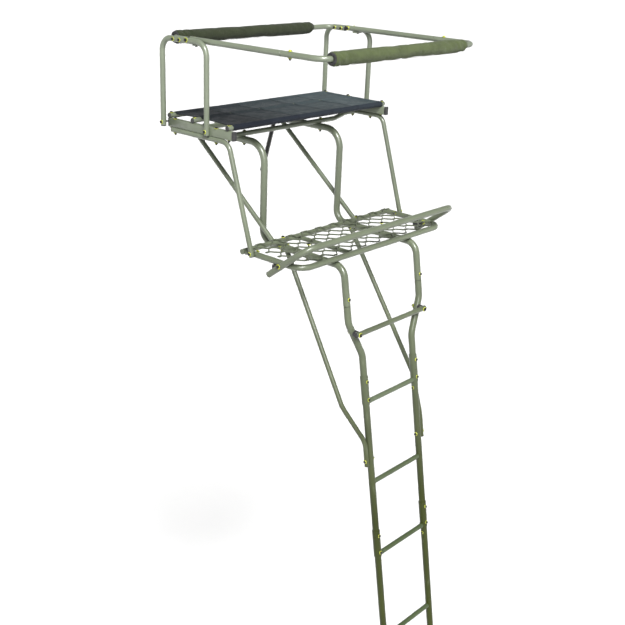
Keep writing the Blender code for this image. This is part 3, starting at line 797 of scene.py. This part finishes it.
def platform():
    """The U-shaped platform rail, its rear rail and the two joists, all welded."""
    rear_y = DECK_REAR_Y - BAR_R - GAP
    route = [
        at(-DECK_X, rear_y, DECK_DROP), at(-DECK_X, DECK_FRONT_Y, DECK_DROP),
        at(DECK_X, DECK_FRONT_Y, DECK_DROP), at(DECK_X, rear_y, DECK_DROP)]

    def weld(piece, x, y, arm_y, arm_r, post_r):
        piece.saddle_weld(at(x, y, DECK_DROP), (0, arm_y, 0), (1, 0, 0), arm_r, post_r)

    def rail_welds(piece):
        for side in (-1, 1):
            weld(piece, side * DECK_X, DECK_REAR_Y, -1, DECK_TUBE_R, BAR_R + 0.004)

    path = rounded_path(route, DECK_BEND, 14)
    coated_tube("platform_rail", STAND, path, DECK_TUBE_R, SHUT, extra=rail_welds)
    path = [at(-0.485, DECK_REAR_Y, DECK_DROP), at(0.485, DECK_REAR_Y, DECK_DROP)]
    coated_tube("platform_rear_rail", STAND, path, BAR_R, SHUT)
    front_y = DECK_FRONT_Y + DECK_TUBE_R + GAP
    for side, label in BOTH:
        x = side * JOIST_X

        def joist_welds(piece):
            weld(piece, x, DECK_REAR_Y, -1, JOIST_R, BAR_R)
            weld(piece, x, DECK_FRONT_Y, 1, JOIST_R, DECK_TUBE_R)

        path = [at(x, rear_y, DECK_DROP), at(x, front_y, DECK_DROP)]
        coated_tube(f"deck_joist_{label}", STAND, path, JOIST_R, SHUT, extra=joist_welds)


def tangents_along(path):
    for place in frames_along(path):
        yield (place.to_3x3() @ Vector((0, 0, 1))).normalized()


def placement(point, across, lift, tangent):
    axes = Matrix((across, lift, tangent)).transposed().to_4x4()
    return Matrix.Translation(point) @ axes


def deck_strand(row, rear_y, top, half_width):
    """One zigzag's placements, clipped to the platform rail and tilted as expanding leaves it."""
    pitch_x, pitch_y = DIAMOND
    high_y = rear_y - row * pitch_y / 2
    low_y = high_y - pitch_y / 2
    lap, bond = STRAND[0] * 0.52, 0.020
    path = []
    count = int(2 * half_width / (pitch_x / 2)) + 3
    for index in range(-count, count):
        x = DECK_PHASE + index * pitch_x / 2
        peak = (index + row) % 2 == 0
        y = high_y - lap if peak else low_y + lap
        inset = DECK_BEND - max(0.0, y - DECK_FRONT_Y)
        corner = 0.0
        if inset > 0:
            corner = DECK_BEND - math.sqrt(max(DECK_BEND ** 2 - inset ** 2, 0.0))
        for offset in (-bond / 2, bond / 2):
            if abs(x + offset) <= half_width - corner:
                path.append(Vector((x + offset, y, top + (0.0007 if peak else -0.0004))))
    places = []
    for point, tangent in zip(path, tangents_along(path)):
        across = Vector((0, 0, 1)).cross(tangent).normalized()
        tilt = Quaternion(tangent, STRAND_TILT)
        places.append(placement(point, tilt @ across, tilt @ tangent.cross(across), tangent))
    return places


def deck_hook(x, side, start_y, top):
    """One strand's tail, from the last bond over the rear rail and down behind it."""
    hook_r = BAR_R + STRAND[1] / 2 + 0.0004
    rail_z = SEAT_Z + DECK_DROP
    path = [
        Vector((x + side * 0.016, start_y, top)),
        Vector((x + side * 0.006, DECK_REAR_Y - 0.003, rail_z + hook_r))]
    for step in range(1, 8):
        a = math.radians(90 - 21 * step)
        y, z = DECK_REAR_Y + hook_r * math.cos(a), rail_z + hook_r * math.sin(a)
        path.append(Vector((x + side * 0.004, y, z)))
    across = Vector((1, 0, 0))
    return [placement(point, across, tangent.cross(across).normalized(), tangent)
            for point, tangent in zip(path, tangents_along(path))]


def deck():
    """Expanded metal: zigzag strands joined at their peaks, the last row hooked over the rail."""
    # Painted shade: the strands take the darker deck coat
    piece = Piece("deck_expanded_metal", STAND, SHADED_DECK_COAT)
    half_width = DECK_X - 0.010
    rear_y = DECK_REAR_Y - 0.002
    top = SEAT_Z + DECK_DROP + DECK_TUBE_R + 0.0018
    w, t, c = STRAND[0] / 2, STRAND[1] / 2, 0.0004
    section = [
        (w, -t + c), (w, t - c), (w - c, t), (-w + c, t),
        (-w, t - c), (-w, -t + c), (-w + c, -t), (w - c, -t)]
    for row in range(DECK_ROWS):
        piece.strip(deck_strand(row, rear_y, top, half_width), section)
    t *= 0.9
    index = -5
    while DECK_PHASE + index * DIAMOND[0] < half_width:
        x = DECK_PHASE + index * DIAMOND[0]
        if x > -half_width + 0.01:
            for side in (-1, 1):
                places = deck_hook(x, side, rear_y - 0.012, top)
                piece.strip(places, [(w, -t), (w, t), (-w, t), (-w, -t)])
        index += 1
    piece.done(("platform_deck",))


def footrest():
    """The flipping foot bar and its two ribbed rubber bumpers."""
    bar_y, bar_drop = FOOTREST_BAR
    route = [
        at(-FOOTREST_X, *FOOTREST_TAIL), at(-FOOTREST_X, bar_y, bar_drop),
        at(FOOTREST_X, bar_y, bar_drop), at(FOOTREST_X, *FOOTREST_TAIL)]
    coated_tube("footrest", FOOT_BAR, rounded_path(route, 0.062, 14), FOOTREST_R)
    for _, label in BOTH:
        low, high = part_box(f"footrest_bumper_{label}")
        piece = Piece(f"footrest_bumper_{label}_rubber", FOOT_BAR, RUBBER, HARDWARE)
        piece.block(low, high, 0.004)
        mid = (low + high) / 2
        under = along(Vector((mid.x, mid.y, low.z + 0.0005)), (0, 0, -1))
        head = [(0, -0.002), (0.0052, -0.002), (0.0052, 0.0012), (0.0038, 0.0026), (0, 0.0026)]
        piece.turned(under, head, INNER, 20)
        for rib in range(4):
            y = low.y + 0.008 + rib * 0.009
            start = (low.x + 0.003, y, high.z - 0.0006)
            piece.block(start, (high.x - 0.003, y + 0.0022, high.z - 0.00005), 0.0002, 1)
        piece.done((f"footrest_bumper_{label}",), RUBBER_SLOT)


# ---------------------------------------------------------------- ladder

def top_stile(side, label):
    """Joggled tube from the main tube's open end in to the ladder's width."""
    x, low_x = side * MAIN_X, side * LADDER_X
    route = [
        on_ladder(x, SEAM_DROP - 0.0022), on_ladder(x, -0.734), on_ladder(low_x, -0.8865),
        on_ladder(low_x, RUNG_DROPS[0] + SOCKET_RISE - INSERT_LENGTH)]
    piece = Piece(f"top_stile_{label}_coated", STAND, GREEN, BORE)
    piece.sweep(rounded_path(route, 0.076, 12), TUBE_R)
    spigot = [on_ladder(x, SEAM_DROP - 0.02), on_ladder(x, SEAM_DROP + 0.05)]
    piece.sweep(spigot, TUBE_R - WALL - 0.0008, INNER)
    piece.done((f"top_stile_{label}",))


def ladder_stile(side, label, section):
    """One ladder section's side tube, with a swaged socket at its top and its rung welds."""
    top = RUNG_DROPS[2 * section] + SOCKET_RISE
    end = -SEAT_Z + 0.010
    if section < SECTIONS - 1:
        end = RUNG_DROPS[2 * section + 2] + SOCKET_RISE - INSERT_LENGTH
    inner, lip, shoulder = TUBE_R + GAP, SOCKET_R + GAP, -SOCKET_LENGTH
    profile = [
        (inner, -INSERT_LENGTH), (inner, -0.0006), (SOCKET_R - 0.0008, 0), (lip, -0.0008),
        (lip, -0.0040), (SOCKET_R, -0.0060), (SOCKET_R, shoulder + 0.008),
        (SOCKET_R - 0.0004, shoulder + 0.003), (TUBE_R + 0.0004, shoulder - 0.002),
        (TUBE_R, shoulder - 0.004), (TUBE_R, -(top - end) * LADDER_STRETCH)]
    piece = Piece(f"ladder_stile_{label}_{section + 1}_coated", STAND, GREEN, BORE)
    piece.turned(along(on_ladder(side * LADDER_X, top), LADDER_AXIS), profile)
    for drop, radius in zip(RUNG_DROPS[2 * section:], (SOCKET_R, TUBE_R)):
        piece.saddle_weld(
            on_ladder(side * LADDER_X, drop), (-side, 0, 0), LADDER_AXIS, RUNG_R, radius)
    piece.done((f"ladder_stile_{label}_{section + 1}",))


def ladder_boot(side, label):
    """Grooved rubber boot, cut level with the ground."""
    boot = Piece(f"ladder_foot_{label}_boot", STAND, RUBBER)
    base = on_ladder(side * LADDER_X, -SEAT_Z)
    wide, groove = 0.0210, 0.0198
    angles = [2 * math.pi * i / 32 for i in range(32)]
    rings = []
    for height, radius in (
            (0.0, 0.0200), (0.0015, wide), (0.012, wide), (0.014, groove), (0.018, groove),
            (0.020, wide), (0.030, wide), (0.032, groove), (0.036, groove), (0.038, wide),
            (0.082, 0.0200), (0.0835, 0.0190), (0.0835, 0.0154)):
        centre = base + Vector((0, LADDER_SLOPE, 1)) * height
        deep = radius * LADDER_STRETCH
        rings.append([
            centre + Vector((radius * math.cos(a), deep * math.sin(a), 0)) for a in angles])
    boot.skin(rings)
    boot.done((f"ladder_foot_{label}",), RUBBER_SLOT)


def ladder():
    for side, label in BOTH:
        top_stile(side, label)
        for section in range(SECTIONS):
            ladder_stile(side, label, section)
        ladder_boot(side, label)
    for number, drop in enumerate(RUNG_DROPS, start=2):
        half = LADDER_X - (TUBE_R if number % 2 else SOCKET_R) + 0.002
        path = [on_ladder(-half, drop), on_ladder(half, drop)]
        coated_tube(f"rung_{number}", STAND, path, RUNG_R, SHUT, RUNG_COAT)
    coated_tube("rung_1", STAND, [at(-0.236, *TOP_RUNG), at(0.236, *TOP_RUNG)], RUNG_R)


# ---------------------------------------------------------------- hardware

def bolts(name, body=STAND):
    return Piece(name, body, HARDWARE, HARDWARE, ZINC)


def pivots():
    """The four bolts that the two flipping frames turn on."""
    for side, label in BOTH:
        piece = bolts(f"rail_pivot_{label}")
        outer, inner = HOOP_X + BAR_R + 0.0002, ARM_X - BAR_R - 0.0002
        piece.cross_bolt(side, outer, inner, RAIL_PIVOT_Y, ARM_RISE, PIVOT_BOLT)
        piece.done((f"rail_pivot_bolt_{label}",), ZINC_SLOT)
        piece = bolts(f"footrest_pivot_{label}")
        outer, inner = FOOTREST_X + FOOTREST_R + GAP, DECK_X - DECK_TUBE_R - 0.0002
        piece.cross_bolt(side, outer, inner, *FOOTREST_PIVOT, PIVOT_BOLT)
        piece.done((f"footrest_pivot_bolt_{label}",), ZINC_SLOT)


def seat_hardware():
    """Clamp bolts through the seat rails, the crossbar, the hoops and the diagonals."""
    piece = bolts("seat_frame_bolts")
    half_rail = RAIL_SIZE[1] / 2
    under_brace = BRACE_RISE - BRACE_R
    for side, _ in BOTH:
        for y in SEAT_TUBE_Y:
            piece.drop_bolt(side * RAIL_X, y, half_rail + 2 * BRACE_R, -half_rail, FRAME_BOLT)
        for y in (0.606, 0.354):
            piece.drop_bolt(side * OUTER_BRACE_X, y, half_rail, under_brace, FRAME_BOLT)
        piece.drop_bolt(side * 0.472, CROSSBAR_Y, half_rail - 0.002, under_brace, FRAME_BOLT)
        top, low = CROSSBAR_DROP + BRACE_R, MAIN_TOP_DROP - TUBE_R
        piece.drop_bolt(side * MAIN_X, CROSSBAR_Y, top, low, FRAME_BOLT)
        outer = HOOP_X + BAR_R
        for y in HOOP_Y:
            piece.cross_bolt(side, outer, RAIL_X - RAIL_SIZE[0] / 2, y, 0.0, FRAME_BOLT)
        for y in (0.585, 0.546):
            piece.cross_bolt(side, outer, ARM_X - BAR_R, y, HOOP_RISE, FRAME_BOLT)
        head = at(side * (DIAGONAL_X + BRACE_R), 0.716, -0.0945)
        piece.bolt(head, at(side * (MAIN_X - TUBE_R), 0.716, -0.0800), SMALL_BOLT)
    piece.done(slot=ZINC_SLOT)


def platform_hardware():
    """Bolts that hold the platform to the main tubes, and the braces' lower ends."""
    piece = bolts("platform_bolts")
    for side, _ in BOTH:
        x = side * MAIN_X
        low = MAIN_LOW_DROP - TUBE_R
        piece.drop_bolt(x, DECK_REAR_Y, DECK_DROP + BAR_R + 0.002, low, DECK_BOLT)
        piece.drop_bolt(x, 0.054, DECK_DROP + DECK_TUBE_R + 0.0045, low, DECK_BOLT)
        outer, inner = OUTER_BRACE_X + BRACE_R, DECK_X - DECK_TUBE_R
        piece.cross_bolt(side, outer, inner, 0.1435, -0.458, FRAME_BOLT)
        head = at(side * (MAIN_X + TUBE_R), 0.208, -0.497)
        piece.bolt(head, at(side * (BRACE_TOP_X - BRACE_R), 0.208, -0.4975), SMALL_BOLT)
        head = on_ladder(side * (LADDER_X + TUBE_R + 2 * BRACE_R), -1.357)
        piece.bolt(head, on_ladder(side * (LADDER_X - TUBE_R), -1.357), FRAME_BOLT)
    piece.done(slot=ZINC_SLOT)


def ladder_hardware():
    """Bolts at the ladder's joints and the top rung, and the rubber saddles behind that rung."""
    piece = bolts("ladder_bolts")
    normal = Vector((0, -1, LADDER_SLOPE)).normalized()
    y, drop = TOP_RUNG
    for side, _ in BOTH:
        seam = on_ladder(side * MAIN_X, -0.632)
        piece.bolt(seam + normal * TUBE_R, seam, SMALL_BOLT)
        for rung in RUNG_DROPS[::2]:
            for below in (0.024, 0.104):
                centre = on_ladder(side * LADDER_X, rung + SOCKET_RISE - below)
                piece.bolt(centre + normal * SOCKET_R, centre, SMALL_BOLT)
            inner = on_ladder(side * (LADDER_X - TUBE_R), rung - 0.038)
            piece.bolt(inner, on_ladder(side * LADDER_X, rung - 0.038), STOP_BOLT)
        back = at(side * RUNG_BOLT_X, ladder_y(drop) + TUBE_R, drop)
        piece.bolt(at(side * RUNG_BOLT_X, y - RUNG_R, drop), back, RUNG_BOLT)
    piece.done(slot=ZINC_SLOT)
    saddles = Piece("rung_saddles", STAND, PLUG)
    for side, _ in BOTH:
        start = at(side * RUNG_BOLT_X, y + RUNG_R * 0.55, drop)
        end = at(side * RUNG_BOLT_X, ladder_y(drop) - TUBE_R * 0.55, drop)
        reach = (end - start).length
        profile = [
            (0, 0), (0.0125, 0), (0.0138, 0.0015), (0.0138, reach - 0.0015), (0.0125, reach),
            (0, reach)]
        saddles.turned(along(start, (0, 1, 0)), profile, sides=24)
    saddles.done(slot=RUBBER_SLOT)


def rail_hardware():
    piece = bolts("rail_joint_bolts", RAIL)
    for side, _ in BOTH:
        top, low = ARM_RISE + BAR_R, ARM_RISE - BAR_R
        piece.drop_bolt(side * ARM_X, -0.034, top, low, SMALL_BOLT, TRIM)
    piece.done(slot=ZINC_SLOT)


# ---------------------------------------------------------------- soft goods

def settle(obj, pins, limit, frames, stiffness=12.0, shrink=0.0, pressure=0.0, gravity=0.0):
    """Cloth simulation with pinned vertices; each vertex moves by the limit at most."""
    scene = bpy.context.scene
    group = obj.vertex_groups.new(name="pins")
    group.add(pins, 1.0, "REPLACE")
    cloth = obj.modifiers.new("cloth", "CLOTH")
    settings = cloth.settings
    settings.quality = 6
    settings.mass = 0.25
    settings.tension_stiffness = stiffness
    settings.compression_stiffness = stiffness
    settings.shear_stiffness = stiffness / 2
    settings.bending_stiffness = 0.6
    settings.vertex_group_mass = "pins"
    settings.pin_stiffness = 5.0
    settings.shrink_min = shrink
    settings.effector_weights.gravity = gravity
    settings.use_pressure = pressure > 0
    settings.uniform_pressure_force = pressure
    cloth.collision_settings.use_collision = False
    cloth.collision_settings.use_self_collision = False
    cloth.point_cache.frame_start = 1
    cloth.point_cache.frame_end = frames
    for step in range(1, frames + 1):
        scene.frame_set(step)
    graph = bpy.context.evaluated_depsgraph_get()
    settled = [v.co.copy() for v in obj.evaluated_get(graph).data.vertices]
    obj.modifiers.remove(cloth)
    scene.frame_set(1)
    for vert, end in zip(obj.data.vertices, settled):
        start = vert.co.copy()
        move = end - start
        if move.length > limit:
            move = move.normalized() * limit
        vert.co = start + move


def sleeve_cover(name, length, cloth):
    """The cover's outside, its two hems and its lining, about its own middle."""
    rest_r = PAD_R - 0.0010
    columns, around = int(length / 0.0062), 40
    mesh = bmesh.new()

    def join(first, second):
        for j in range(around):
            k = (j + 1) % around
            mesh.faces.new((first[j], first[k], second[k], second[j]))

    rows = []
    for i in range(columns + 1):
        x = length * i / columns
        cut = min(x / 0.003, 1.0)
        draw = min((length - x) / 0.034, 1.0)
        radius = rest_r - 0.0016 * (1 - cut) ** 2 - 0.0095 * (1 - draw) ** 2
        row = []
        for j in range(around):
            a = 2 * math.pi * j / around
            skew = 1 - 0.16 * (1 - draw) * max(0.0, -math.sin(a))
            wobble = 1 + 0.008 * noise.noise(Vector((x * 30, math.cos(a) * 2, math.sin(a) * 2)))
            reach = radius * wobble * skew
            row.append(mesh.verts.new((x - length / 2, reach * math.cos(a), reach * math.sin(a))))
        rows.append(row)
    for first, second in zip(rows, rows[1:]):
        join(first, second)
    hems = []
    for row, shrink in ((rows[0], 0.86), (rows[-1], 0.76)):
        hems.append([mesh.verts.new((v.co.x, v.co.y * shrink, v.co.z * shrink)) for v in row])
        join(row, hems[-1])
    join(*hems)
    bmesh.ops.recalc_face_normals(mesh, faces=mesh.faces)
    for face in mesh.faces:
        face.smooth = True
    return make_object(name, mesh, [cloth])


def sleeve(name, node, body, span, y, rise, cloth):
    """Fabric-covered foam tube: open dark end on the left, drawn-in end on the right."""
    low, high = span
    length = high - low
    obj = sleeve_cover(name, length, cloth)
    obj.location = at((low + high) / 2, y, rise)
    vertices = obj.data.vertices
    ends = [v.index for v in vertices if abs(v.co.x) > length / 2 - 0.002]
    settle(obj, ends, SLEEVE_SWELL_LIMIT, 14, pressure=2.0, shrink=-0.04)
    for vert in vertices:
        flat = math.hypot(vert.co.y, vert.co.z)
        if flat > PAD_R:
            vert.co.y *= PAD_R / flat
            vert.co.z *= PAD_R / flat
    finish_piece(obj, body, (node,))

    foam = Piece(f"{name}_foam", body, FOAM)
    bore, rim = BAR_R + 0.0012, PAD_R - 0.0036
    ring = [
        (bore, 0.003), (bore, -0.0045), (bore + 0.001, -0.0060), (PAD_R - 0.0055, -0.0060),
        (rim, -0.0045), (rim, 0.003)]
    foam.turned(along(at(low, y, rise), (1, 0, 0)), ring, sides=40, closed=True)
    foam.done(slot=RUBBER_SLOT)

    seam = Piece(f"{name}_stitches", body, SLEEVE_THREAD)
    step = 0.0052
    for turn in (math.radians(246), math.radians(252)):
        out = Vector((0, math.cos(turn), math.sin(turn)))
        for index in range(int((length - 0.07) / step)):
            start = at(low + 0.015 + index * step, y, rise) + out * PAD_R
            end = start + Vector((step * STITCH_SHARE, 0, 0))
            seam.stitch(start, (start + end) / 2 + out * 0.0004, end)
    for index in range(34):
        turn = 2 * math.pi * index / 34
        out = Vector((0, math.cos(turn), math.sin(turn)))
        side = Vector((0, -math.sin(turn), math.cos(turn))) * 0.0016
        middle = at(low + 0.008, y, rise) + out * (PAD_R + 0.0001)
        seam.stitch(middle - side, middle + out * 0.0002, middle + side)
    seam.done(slot="olive_sleeve")


def sling_sheet(front, depth, lift, columns, rows):
    """The flat cut sheet, waisted on both sides and faintly rippled."""
    mesh = bmesh.new()
    grid = []
    for j in range(rows + 1):
        t = j / rows
        low = SLING_X[0] + SLING_WAIST[0] * math.sin(math.pi * t)
        high = SLING_X[1] - SLING_WAIST[1] * math.sin(math.pi * t)
        y = front + depth * t
        line = []
        for i in range(columns + 1):
            x = low + (high - low) * i / columns
            ripple = 0.0006 * noise.noise(Vector((x * 14, y * 40, 0.7)))
            line.append(mesh.verts.new(at(x, y, lift + ripple)))
        grid.append(line)
    for first, second in zip(grid, grid[1:]):
        for i in range(columns):
            mesh.faces.new((first[i], first[i + 1], second[i + 1], second[i]))
    return make_object("sling_sheet", mesh, [SLING])


def stitch_line(piece, points):
    """A running stitch along neighbouring points, each stitch a little proud in its middle."""
    for start, end in zip(points, points[1:]):
        reach = (end - start) * STITCH_SHARE
        piece.stitch(start, start + reach / 2 + Vector((0, 0, 0.0003)), start + reach)


def sling():
    """Sling hemmed round the front and the rear tube, laid over the mid one and sagging between."""
    rear, mid, front = SEAT_TUBE_Y
    skin_r = BRACE_R + 0.0013
    columns, rows = 224, 52
    depth, width = rear - front, columns + 1
    obj = sling_sheet(front, depth, SEAT_TUBE_RISE + skin_r, columns, rows)
    vertices = obj.data.vertices
    held = []
    for row in (0, rows, round((mid - front) / depth * rows)):
        held += range(row * width, (row + 1) * width)
    held += [row * width + columns for row in range(rows + 1)]
    settle(obj, held, SLING_SAG_LIMIT, 24, stiffness=8.0, shrink=-0.012, gravity=1.0)
    for vert in vertices:
        t = min(max((vert.co.y - front) / depth, 0.0), 1.0)
        for x, _ in SLING_CREASES_AND_SHEEN_STEPS:
            wave = CREASE_WAVE[0] * math.sin(CREASE_WAVE[1] * vert.co.y)
            off = (vert.co.x + CREASE_SLANT * vert.co.y + wave - x) / CREASE_WIDTH
            groove = math.exp(-off ** 2) - 0.6 * math.exp(-(abs(off) - 1.9) ** 2)
            vert.co.z -= CREASE_DEPTH * groove * math.sin(math.pi * t) ** 0.5

    def above(row, column):
        return vertices[row * width + column].co + Vector((0, 0, 0.0011))

    stitches = Piece("sling_stitches", STAND, THREAD)
    for row in (2, rows - 2):
        stitch_line(stitches, [above(row, i) for i in range(2, width - 2)])
    for column in (3, columns - 3):
        stitch_line(stitches, [above(row, column) for row in range(2, rows - 1)])
    stitches.done(slot="black_sling")
    sling_hems(obj, columns, rows, skin_r)
    thick = obj.modifiers.new("thickness", "SOLIDIFY")
    thick.thickness = 0.0018
    thick.offset = 0.0
    finish_piece(obj, STAND, ("seat_sling",))


def sling_hems(obj, columns, rows, skin_r):
    """Carries the sheet's front and rear edges on round their tubes."""
    rear, _, front = SEAT_TUBE_Y
    width = columns + 1
    full = bmesh.new()
    full.from_mesh(obj.data)
    full.verts.ensure_lookup_table()
    edges = [(front, -1, full.verts[:width]), (rear, 1, full.verts[rows * width:])]
    for y, sign, edge in edges:
        before = edge
        for step in range(1, 14):
            a = math.radians(90) - sign * HEM_STEP * step
            place = (y + skin_r * math.cos(a), SEAT_Z + SEAT_TUBE_RISE + skin_r * math.sin(a))
            after = [full.verts.new((top.co.x, *place)) for top in edge]
            for i in range(columns):
                full.faces.new((before[i], before[i + 1], after[i + 1], after[i]))
            before = after
    bmesh.ops.recalc_face_normals(full, faces=full.faces)
    for face in full.faces:
        face.smooth = True
    full.to_mesh(obj.data)
    full.free()


# ---------------------------------------------------------------- stage

def aim(obj, direction):
    obj.rotation_euler = Vector(direction).to_track_quat("-Z", "Y").to_euler()


def camera():
    """Above and to the left of the stand's front, looking down at the seat and the platform."""
    data = bpy.data.cameras.new("camera")
    data.sensor_width = 36.0
    data.lens = CAMERA_LENS
    data.clip_end = 200.0
    obj = add_to_scene("camera", data)
    obj.location = CAMERA_PLACE
    obj.rotation_euler = [math.radians(a) for a in CAMERA_TURN]
    bpy.context.scene.camera = obj


def floor():
    finish = Finish("pale_floor", (0.56,) * 3, 0.9)
    drift = finish.mix(finish.noise(0.4, 2.0), (0.55,) * 3, (0.57,) * 3)
    finish.set("Base Color", drift)
    mesh = bmesh.new()
    bmesh.ops.create_grid(mesh, x_segments=1, y_segments=1, size=FLOOR_HALF_SIZE)
    obj = make_object("floor", mesh, [finish.material])
    obj.location.z = FLOOR_DROP


def studio():
    """A world that is bright up from the horizon and dim overhead."""
    world = bpy.data.worlds.new("studio")
    bpy.context.scene.world = world
    world.use_nodes = True
    nodes, links = world.node_tree.nodes, world.node_tree.links
    height = nodes.new("ShaderNodeSeparateXYZ")
    links.new(nodes.new("ShaderNodeTexCoord").outputs["Generated"], height.inputs[0])
    ramp = nodes.new("ShaderNodeMapRange")
    for index, value in enumerate(SKY_RAMP, start=1):
        ramp.inputs[index].default_value = value
    links.new(height.outputs[2], ramp.inputs[0])
    links.new(ramp.outputs[0], nodes["Background"].inputs["Strength"])
    nodes["Background"].inputs["Color"].default_value = (1.0, 1.0, 1.0, 1.0)


def lights():
    """A broad key light from the front left and a soft strip for the tubes' highlights."""
    sun = bpy.data.lights.new("softbox_key", "SUN")
    sun.energy = SUN_ENERGY
    sun.angle = math.radians(SUN_SPREAD)
    aim(add_to_scene("softbox_key", sun), SUN_DIRECTION)
    strip = bpy.data.lights.new("front_strip", "AREA")
    strip.shape = "RECTANGLE"
    strip.size, strip.size_y = STRIP_SIZE
    strip.energy = STRIP_POWER
    obj = add_to_scene("front_strip", strip)
    obj.location = STRIP_PLACE
    aim(obj, Vector(STRIP_TARGET) - Vector(STRIP_PLACE))


camera()
seat_frame()
for SIDE, LABEL in BOTH:
    box_rail(SIDE, LABEL)
seat_tubes()
tree_bracket()
rails()
platform()
deck()
footrest()
ladder()
pivots()
seat_hardware()
platform_hardware()
ladder_hardware()
rail_hardware()
sleeve("front_sleeve", "front_pad", RAIL, FRONT_SLEEVE_X, FRONT_BAR_Y, ARM_RISE, FRONT_CLOTH)
sleeve("rear_sleeve", "rear_pad", STAND, REAR_SLEEVE_X, REAR_BAR_Y, HOOP_RISE, REAR_CLOTH)
sling()
floor()
studio()
lights()
view = bpy.context.scene.view_settings
view.view_transform = "Standard"
view.look = "None"
